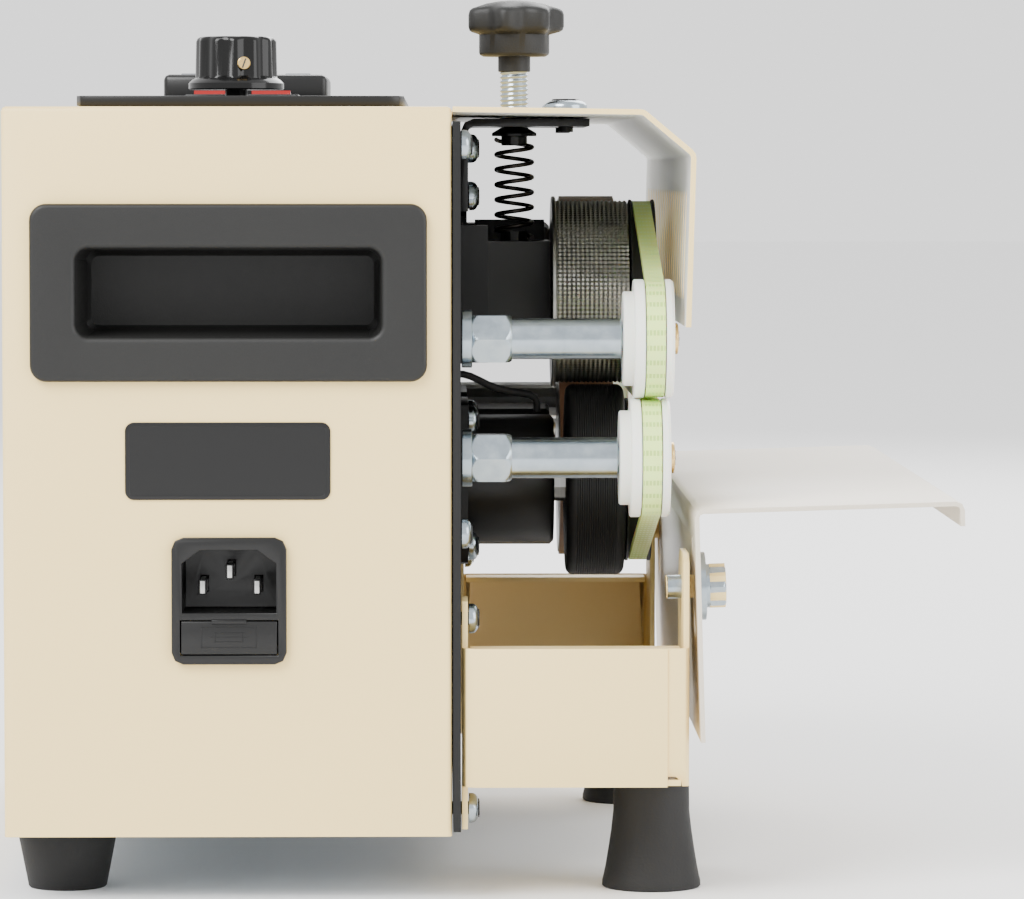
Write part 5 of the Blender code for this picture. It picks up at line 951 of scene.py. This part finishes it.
class SEALER_OT_pressure_screw(bpy.types.Operator):
    """Adds the threaded pressure screw, its star knob, the seat and the spring"""

    bl_idname = "sealer.pressure_screw"
    bl_label = "Pressure screw"

    def execute(self, context):
        self.thread(context.scene.sealer_sizes.thread_pitch)
        knob = at(PRESSURE_X, PRESS_Y, STAR_KNOB_Z)
        stands_for("star_knob", lobed(STAR_KNOB, knob, 7, 16), "moulded", 45)
        piece("star_knob_neck", turned(STAR_NECK, knob, UP), "moulded", "star_knob")
        softened("spring_seat", "oxide", 0.2, 40)
        for name, start, body in (("lower", 0.0, BENDS), ("upper", 0.5, "machine")):
            coil = meshed(self.coil(name, start))
            piece_name = f"pressure_spring_{name}"
            made = piece(piece_name, coil, "spring_wire", "pressure_spring", 60, body)
            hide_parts("pressure_spring")
            self.follow(made, name)
        return {"FINISHED"}

    def thread(self, pitch):
        """Winds the thread and cuts its ends flat."""
        turns = math.ceil((THREAD_HIGH - THREAD_LOW) / pitch) + 3
        shape = bmesh.new()
        start = at(PRESSURE_X, PRESS_Y, THREAD_LOW - 1.5 * pitch)
        line = [
            shape.verts.new(start + Vector((radius * MM, 0, rise * pitch * MM)))
            for rise, radius in THREAD
        ]
        edges = [shape.edges.new(pair) for pair in zip(line, line[1:])]
        bmesh.ops.spin(
            shape, geom=[*line, *edges], cent=at(PRESSURE_X, PRESS_Y, 0), axis=UP,
            dvec=(0, 0, pitch * MM / THREAD_STEPS), angle=math.tau * turns,
            steps=THREAD_STEPS * turns, use_merge=False,
        )
        bmesh.ops.remove_doubles(shape, verts=shape.verts, dist=1e-5)
        for level, outward in ((THREAD_LOW, -UP), (THREAD_HIGH, UP)):
            cut = sliced(shape, at(0, 0, level), outward, clear_outer=True)
            rim = [e for e in cut["geom_cut"] if isinstance(e, bmesh.types.BMEdge)]
            bmesh.ops.edgeloop_fill(shape, edges=rim)
        bmesh.ops.recalc_face_normals(shape, faces=shape.faces)
        stands_for("pressure_screw", shape, "zinc", 50)

    def coil(self, name, start):
        """Half of the spring's length, from a share of its height."""
        curve = bpy.data.curves.new(f"coil_{name}", "CURVE")
        curve.dimensions = "3D"
        curve.bevel_depth = WIRE_RADIUS * MM
        curve.bevel_resolution = 3
        curve.use_fill_caps = True
        line = curve.splines.new("POLY")
        line.points.add(SPRING_POINTS)
        for index, spot in enumerate(line.points):
            share = start + 0.5 * index / SPRING_POINTS
            angle = math.tau * SPRING_TURNS * share
            x = PRESSURE_X + SPRING_RADIUS * math.cos(angle)
            y = PRESS_Y + SPRING_RADIUS * math.sin(angle)
            spot.co = (*at(x, y, SPRING_LOW + (SPRING_HIGH - SPRING_LOW) * share), 1)
        return curve

    def follow(self, made, name):
        """Bakes the lower length's place into its mesh, and gives the upper length a mesh of its
        own.
        """
        height = (SPRING_LOW + SPRING_HIGH) / 2
        middle = at(PRESSURE_X, PRESS_Y, height)
        if name == "lower":
            low = at(PRESSURE_X, PRESS_Y, SPRING_LOW)
            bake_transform(made)
        else:
            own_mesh(made)


# Distance along the axis and radius, in mm
GUIDE_WHEEL = (
    (0, 3.3), (0, 11.9), (0.35, 12.25), (2.7, 12.25), (2.7, 15.1), (3.0, 15.4), (5.2, 15.4),
    (5.5, 15.1), (5.5, 13.1), (10.9, 13.1), (10.9, 15.2), (11.1, 15.4), (12.3, 15.4), (13.0, 14.8),
    (13.0, 12.6), (12.3, 12.2), (12.3, 6.4), (13.0, 6.0), (13.0, 3.3),
)
WASHER = ((0, 5), (0, 7.3), (0.2, 7.5), (2.5, 7.5), (2.7, 7.3), (2.7, 5))
NUT = ((0, 6.2), (0.9, 7.0), (8.6, 7.0), (10.3, 5.7))
WASHER_X, NUT_X, ROD_X = 0.3, 3.0, 13.0
NUT_APOTHEM, AXLE = 6.06, 13.6

# The wheel's back and its screw's seat, from the belt's middle
HUB_BACK, SCREW_SEAT = 8.2, 5.1


class SEALER_OT_guide_wheels(bpy.types.Operator):
    """Adds the nylon guide wheels, their plated columns and brass screws"""

    bl_idname = "sealer.guide_wheels"
    bl_label = "Guide wheels"

    def execute(self, context):
        for side, y in WHEEL_Y.items():
            for level, z in WHEEL_Z.items():
                hub = BELT_X[level] - HUB_BACK
                self.column(f"guide_standoff_{side}_{level}", y, z, hub)
                wheel = turned(GUIDE_WHEEL, at(hub, y, z))
                stands_for(f"guide_wheel_{side}_{level}", wheel, "nylon", 35)
                seat = (BELT_X[level] + SCREW_SEAT, y, z)
                screw_head(f"guide_screw_{side}_{level}", seat, ACROSS, 4.0, 1.3, "brass")
        return {"FINISHED"}

    def column(self, node, y, z, hub):
        """A plated column: a washer, its hexagon, a round length and the axle under the wheel."""
        neck = hub - WASHER_X - ROD_X
        axle = neck + AXLE
        rod = [(0, 0), (0, 5.3), (neck - 0.3, 5.3), (neck, 5.0)]
        rod += [(neck, 3.0), (axle, 3.0), (axle, 0)]
        nut = stood(six_sided(NUT, NUT_APOTHEM), at(NUT_X, y, z), ACROSS)
        shape = joined(turned(WASHER, at(WASHER_X, y, z)), nut, turned(rod, at(ROD_X, y, z)))
        stands_for(node, shape, "zinc", 25)


# The belts are cut across at these places, in mm
BELT_CUTS = range(-132, 133, 6)

# Each half of the upper belt: the side cut away, and a start and an end along it in mm, which are
# read but not used
BELT_HALVES = {"near": (1, 30, 80), "far": (-1, 240, 130)}

# The wheels' radius under the belts' outer face, and the height where a belt turns back
BELT_LOOP, BELT_RETURN = 15.4, -14


class SEALER_OT_guide_belts(bpy.types.Operator):
    """Adds the clear green guide belts with their embossed rows"""

    bl_idname = "sealer.guide_belts"
    bl_label = "Guide belts"

    def execute(self, context):
        stands_for("guide_belt_lower", self.belt("lower"), "belt_green", 35)
        node, shape = "guide_belt_upper", self.belt("upper")
        whole = bpy.data.meshes.new("whole_belt")
        shape.to_mesh(whole)
        shape.free()
        for side, (outward, start, end) in BELT_HALVES.items():
            half = bmesh.new()
            half.from_mesh(whole)
            middle = at(0, PRESS_Y, 0)
            sliced(half, middle, (0, outward, 0), clear_outer=True, dist=1e-7)
            made = piece(f"{node}_{side}", half, "belt_green", node, 35, BENDS)
            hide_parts(node)
            at(0, start, 150)
            at(0, end, 150)
            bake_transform(made)
        bpy.data.meshes.remove(whole)
        return {"FINISHED"}

    def belt(self, level):
        """A belt's solid, with the distance along it and across it at each point, in mm."""
        shape = copied(f"guide_belt_{level}")
        for y in BELT_CUTS:
            sliced(shape, (0, y * MM, 0), (0, 1, 0), dist=1e-7)
        bmesh.ops.triangulate(shape, faces=[f for f in shape.faces if len(f.verts) > 4])
        along = shape.verts.layers.float.new("along")
        across = shape.verts.layers.float.new("across")
        near = at(BELT_X[level], WHEEL_Y["near"], WHEEL_Z[level])
        for vertex in shape.verts:
            place = (vertex.co - near) / MM
            walk = BELT_LOOP * math.atan2(place.z, -place.y)
            if place.y > 0:
                walk = BELT_LOOP * math.pi / 2 + place.y
                walk = walk if place.z > BELT_RETURN else -walk
            vertex[along] = walk
            vertex[across] = place.x
        return shape


SHAFT_BORE = 6.3
PULLEY_RADIUS = {"upper": 25.2, "lower": 22.3}

# Where the knurl starts and ends, its crests' radius, its depth and the dished body's radius
KNURL_FROM, KNURL_TO, CREST, KNURL_DEPTH, DISH = 26.5, 46.2, 25.25, 0.42, 21.0
KNURL_WEB_X = 25.3
KNURL_WEB = (
    (0, SHAFT_BORE), (0, 25.9), (0.2, 26.35), (0.9, 26.35), (1.25, 25.9), (1.25, 20.99),
    (18.9, 20.99), (18.9, 10.7), (20.6, 10.5), (20.9, 10.2), (20.9, SHAFT_BORE),
)

# Where the rubber starts and ends, its radius, the grooves' depth and the rounded shoulders
RUBBER_FROM, RUBBER_TO, TREAD, GROOVE, SHOULDER = 29.3, 45.4, 26.42, 0.14, 2.2


class SEALER_OT_press_wheels(bpy.types.Operator):
    """Adds the knurled and rubber press wheels, their pulleys, housing and bearing block"""

    bl_idname = "sealer.press_wheels"
    bl_label = "Press wheels"

    def execute(self, context):
        self.knurl(context.scene.sealer_sizes.knurl_pitch)
        self.rubber(context.scene.sealer_sizes.rib_pitch)
        for level, radius in PULLEY_RADIUS.items():
            profile = [
                (0, SHAFT_BORE), (0, radius + 0.1), (0.2, radius + 0.3), (0.8, radius + 0.2),
                (0.8, radius - 2.1), (6.2, radius - 2.1), (6.2, radius + 0.2), (6.8, radius + 0.3),
                (7.0, radius + 0.1), (7.0, radius - 3.4), (6.2, radius - 4.0), (6.2, 10.4),
                (7.0, 10.0), (7.0, SHAFT_BORE),
            ]
            pulley = turned(profile, at(BELT_X[level] - 3.5, *SHAFT[level]))
            stands_for(f"guide_pulley_{level}", pulley, "moulded", 40)
        softened("press_shaft_upper", "turned_steel", 0, 25)
        softened("press_shaft_lower", "turned_steel", 0, 25)
        softened("press_housing", "oxide", 0, 30)
        softened("upper_bearing_block", "oxide", 0.3)
        return {"FINISHED"}

    def knurl(self, pitch):
        """Wraps a grid of small pyramids round the wheel, and closes it round its dished body."""
        around = 2 * round(math.tau * CREST / pitch)
        wide = 2 * round((KNURL_TO - KNURL_FROM) / pitch)
        shape = bmesh.new()
        bmesh.ops.create_grid(shape, x_segments=wide, y_segments=around, size=0.5)
        centre = at(0, *SHAFT["upper"])
        for vertex in shape.verts:
            column = round((vertex.co.x + 0.5) * wide)
            row = round((vertex.co.y + 0.5) * around)
            radius = CREST if column % 2 and row % 2 else CREST - KNURL_DEPTH
            angle = math.tau * row / around
            x = KNURL_FROM + (KNURL_TO - KNURL_FROM) * column / wide
            arm = Vector((x, radius * math.cos(angle), radius * math.sin(angle)))
            vertex.co = centre + arm * MM
        bmesh.ops.remove_doubles(shape, verts=shape.verts, dist=1e-6)
        rim = [e for e in shape.edges if e.is_boundary]
        walls = bmesh.ops.extrude_edge_only(shape, edges=rim)["geom"]
        for vertex in (v for v in walls if isinstance(v, bmesh.types.BMVert)):
            arm = vertex.co - centre
            share = DISH * MM / math.hypot(arm.y, arm.z)
            vertex.co = centre + Vector((arm.x, arm.y * share, arm.z * share))
        loops = [e for e in walls if isinstance(e, bmesh.types.BMEdge) and e.is_boundary]
        bmesh.ops.bridge_loops(shape, edges=loops)
        bmesh.ops.recalc_face_normals(shape, faces=shape.faces)
        body = turned(KNURL_WEB, at(KNURL_WEB_X, *SHAFT["upper"]))
        stands_for("knurled_wheel", joined(shape, body), "knurl_steel", 20)

    def rubber(self, pitch):
        """Turns the rubber tread with its fine grooves."""
        wide = RUBBER_TO - RUBBER_FROM
        shoulder = []
        for angle in (math.radians(15 * step) for step in range(7)):
            along = SHOULDER * (1 - math.cos(angle))
            shoulder.append((along, TREAD - SHOULDER * (1 - math.sin(angle))))
        profile = [(0, SHAFT_BORE), *shoulder]
        place = SHOULDER + pitch * 0.5
        while place < wide - SHOULDER - pitch:
            profile += [
                (place, TREAD), (place + pitch * 0.3, TREAD - GROOVE),
                (place + pitch * 0.5, TREAD - GROOVE), (place + pitch * 0.8, TREAD),
            ]
            place += pitch
        profile += [(wide - along, radius) for along, radius in reversed(shoulder)]
        profile.append((wide, SHAFT_BORE))
        tread = turned(profile, at(RUBBER_FROM, *SHAFT["lower"]), steps=112)
        stands_for("rubber_wheel", tread, "press_rubber", 30)


class SEALER_OT_seal_bands(bpy.types.Operator):
    """Adds the seal bands with their rollers, idlers and the cooling and heater blocks"""

    bl_idname = "sealer.seal_bands"
    bl_label = "Seal bands"

    def execute(self, context):
        for level in ("upper", "lower"):
            softened(f"seal_roller_{level}", "turned_steel", 0, 25)
            softened(f"seal_idler_{level}", "turned_steel", 0.2, 35)
            stands_for(f"seal_band_{level}", copied(f"seal_band_{level}"), "glass_cloth", 35)
            softened(f"cooling_block_{level}", "aluminium", 0.3)
            softened(f"heater_block_{level}", "aluminium", 0.3)
        return {"FINISHED"}


# The faces that the pan heads sit on: the panel's, the rail and housing flanges', the tray tabs'
PANEL_FACE, FLANGE_FACE, TAB_FACE = 0.3, 2.6, 2.1

PANEL_SCREW_Y, PANEL_SCREW_Z = (6, 274), (195.0, 95.0)
RAIL_TOP, RAIL_HEIGHT, RAIL_REACH = 204.8, 27.4, 27
HOUSING_REACH = 17.3
TAB_INSET, TAB_SCREW_Z = 13.2, (72.4, 23.0)

# The shelf's tilt in degrees and its fold's place, and the bolts' places from the fold
SHELF_TILT, FOLD_X = 1.7, 60.0
BOLT_Z, BOLT_DROP, BOLT_INSET = 80.5, 21.0, 16.5
LEG_FACE = 1.5
BOLT_WASHERS = (
    (-0.02, 3.1), (-0.02, 8.7), (0.1, 8.86), (1.4, 8.86), (1.55, 8.7), (1.55, 5.66), (2.55, 5.66),
    (2.55, 3.1),
)
BOLT_HEAD = ((0, 5.6), (0.35, 5.85), (3.5, 5.85), (4.28, 4.9))
BOLT_STUB = ((-8.75, 0), (-8.75, 2.6), (-8.3, 3.06), (-2.95, 3.06), (-2.95, 0))


class SEALER_OT_screws(bpy.types.Operator):
    """Adds the plated pan heads and the shelf's hex bolts"""

    bl_idname = "sealer.screws"
    bl_label = "Screws"

    def execute(self, context):
        heads = [(PANEL_FACE, y, z) for y in PANEL_SCREW_Y for z in PANEL_SCREW_Z]
        for y in (PRESS_Y - RAIL_REACH, PRESS_Y + RAIL_REACH):
            for share in (0.38, 0.85):
                heads.append((FLANGE_FACE, y, RAIL_TOP - RAIL_HEIGHT * share))
        y, z = SHAFT["lower"]
        for across, up in ((-1, 1), (1, -1), (-1, -1), (1, 1)):
            heads.append((FLANGE_FACE, y + HOUSING_REACH * across, z + HOUSING_REACH * up))
        for y in (TAB_INSET, TRAY_LENGTH - TAB_INSET):
            heads += [(TAB_FACE, y, z) for z in TAB_SCREW_Z]
        for index, place in enumerate(heads):
            screw_head(f"panel_screw_{index + 1}", place, ACROSS, 3.8, 2.7)
        tilt = math.radians(SHELF_TILT)
        out = Vector((math.cos(tilt), 0, math.sin(tilt)))
        seat_x = FOLD_X + BOLT_DROP * math.tan(tilt) + LEG_FACE / math.cos(tilt)
        for side, y in (("near", BOLT_INSET), ("far", TRAY_LENGTH - BOLT_INSET)):
            seat = at(seat_x, y, BOLT_Z)
            head = stood(six_sided(BOLT_HEAD, 5.03), seat + out * 2.5 * MM, out)
            washers = turned(BOLT_WASHERS, seat, out, 64)
            bolt = joined(washers, head, turned(BOLT_STUB, seat, out, 40))
            piece(f"shelf_bolt_{side}", bolt, "zinc", PLATED, 30)
        return {"FINISHED"}


GUARD_SCREW_X, GUARD_SCREW_REACH = 29.0, 18
GUARD_SCREW_RADIUS, GUARD_SCREW_CROWN = 5.8, 2.8


class SEALER_OT_guard_screws(bpy.types.Operator):
    """Adds the two truss-head screws on top of the guard"""

    bl_idname = "sealer.guard_screws"
    bl_label = "Guard screws"

    def execute(self, context):
        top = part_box("guard_bracket")[1][2] / MM
        for side, reach in (("near", -GUARD_SCREW_REACH), ("far", GUARD_SCREW_REACH)):
            place = (GUARD_SCREW_X, PRESS_Y + reach, top - GUARD_SCREW_CROWN - COVER)
            name = f"guard_screw_{side}"
            screw_head(name, place, UP, GUARD_SCREW_RADIUS, GUARD_SCREW_CROWN)
        return {"FINISHED"}


# Height and radius, in mm
TRAY_FOOT = (
    (0, 0), (0, 9.6), (0.25, 10.2), (0, 10.8), (0, 12.6), (0.4, 13.0), (1.6, 12.95), (3.0, 12.6),
    (5.5, 12.1), (10, 11.35), (15, 10.6), (20, 10.05), (26, 9.95), (29.3, 9.9), (29.8, 9.6),
    (29.8, 2.0), (34.8, 2.0), (34.8, 0),
)
CASE_FOOT = (
    (0, 0), (0, 9.9), (0.4, 10.3), (16.4, 13.45), (16.9, 13.2), (16.9, 2.0), (21.9, 2.0), (21.9, 0),
)
TRAY_FOOT_PLACES = {"near": (50.3, 31), "far": (50.3, TRAY_LENGTH - 31)}
CASE_FOOT_PLACES = {"near": (-103.6, 33), "far": (-103.6, CASE_LENGTH - 33)}


class SEALER_OT_feet(bpy.types.Operator):
    """Adds the rubber feet"""

    bl_idname = "sealer.feet"
    bl_label = "Feet"

    def execute(self, context):
        for side in ("near", "far"):
            bell = turned(TRAY_FOOT, at(*TRAY_FOOT_PLACES[side], 0), UP, 80)
            stands_for(f"tray_foot_{side}", bell, "sole_rubber", 40)
            cone = turned(CASE_FOOT, at(*CASE_FOOT_PLACES[side], 0), UP, 80)
            stands_for(f"case_foot_{side}", cone, "sole_rubber", 40)
        return {"FINISHED"}


class SEALER_OT_inner_drive(bpy.types.Operator):
    """Finishes the gear motor, its pinion and the sensor lead"""

    bl_idname = "sealer.inner_drive"
    bl_label = "Inner drive"

    def execute(self, context):
        softened("gear_motor", "motor_paint", 0, 30)
        coated("motor_pinion", "turned_steel")
        stands_for("sensor_lead", copied("sensor_lead"), "sole_rubber", 60)
        return {"FINISHED"}


OPERATORS = (
    SEALER_OT_stage,
    SEALER_OT_sheet_metal,
    SEALER_OT_grips_and_inlet,
    SEALER_OT_name_plate,
    SEALER_OT_controls,
    SEALER_OT_speed_knob,
    SEALER_OT_pressure_screw,
    SEALER_OT_guide_wheels,
    SEALER_OT_guide_belts,
    SEALER_OT_press_wheels,
    SEALER_OT_seal_bands,
    SEALER_OT_screws,
    SEALER_OT_guard_screws,
    SEALER_OT_feet,
    SEALER_OT_inner_drive,
)


class SEALER_PT_panel(bpy.types.Panel):
    """Lists the sealer's colours, sizes and steps"""

    bl_idname = "SEALER_PT_panel"
    bl_label = "Band sealer"
    bl_space_type = "VIEW_3D"
    bl_region_type = "UI"
    bl_category = "Band sealer"

    def draw(self, context):
        scene = context.scene
        for group in (scene.sealer_colours, scene.sealer_sizes, scene.sealer_stage):
            for name in group.bl_rna.properties.keys():
                if name not in ("rna_type", "name"):
                    self.layout.prop(group, name)
        for operator in OPERATORS:
            self.layout.operator(operator.bl_idname)


GROUPS = {"sealer_colours": SealerColours, "sealer_sizes": SealerSizes, "sealer_stage": SealerStage}


def register():
    for group in GROUPS.values():
        bpy.utils.register_class(group)
    for name, group in GROUPS.items():
        setattr(bpy.types.Scene, name, bpy.props.PointerProperty(type=group))
    for shown in (*OPERATORS, SEALER_PT_panel):
        bpy.utils.register_class(shown)


def unregister():
    for shown in (SEALER_PT_panel, *reversed(OPERATORS)):
        bpy.utils.unregister_class(shown)
    for name in GROUPS:
        delattr(bpy.types.Scene, name)
    for group in GROUPS.values():
        bpy.utils.unregister_class(group)


def main():
    register()
    for operator in OPERATORS:
        group, name = operator.bl_idname.split(".")
        getattr(getattr(bpy.ops, group), name)()


if __name__ == "__main__":
    main()
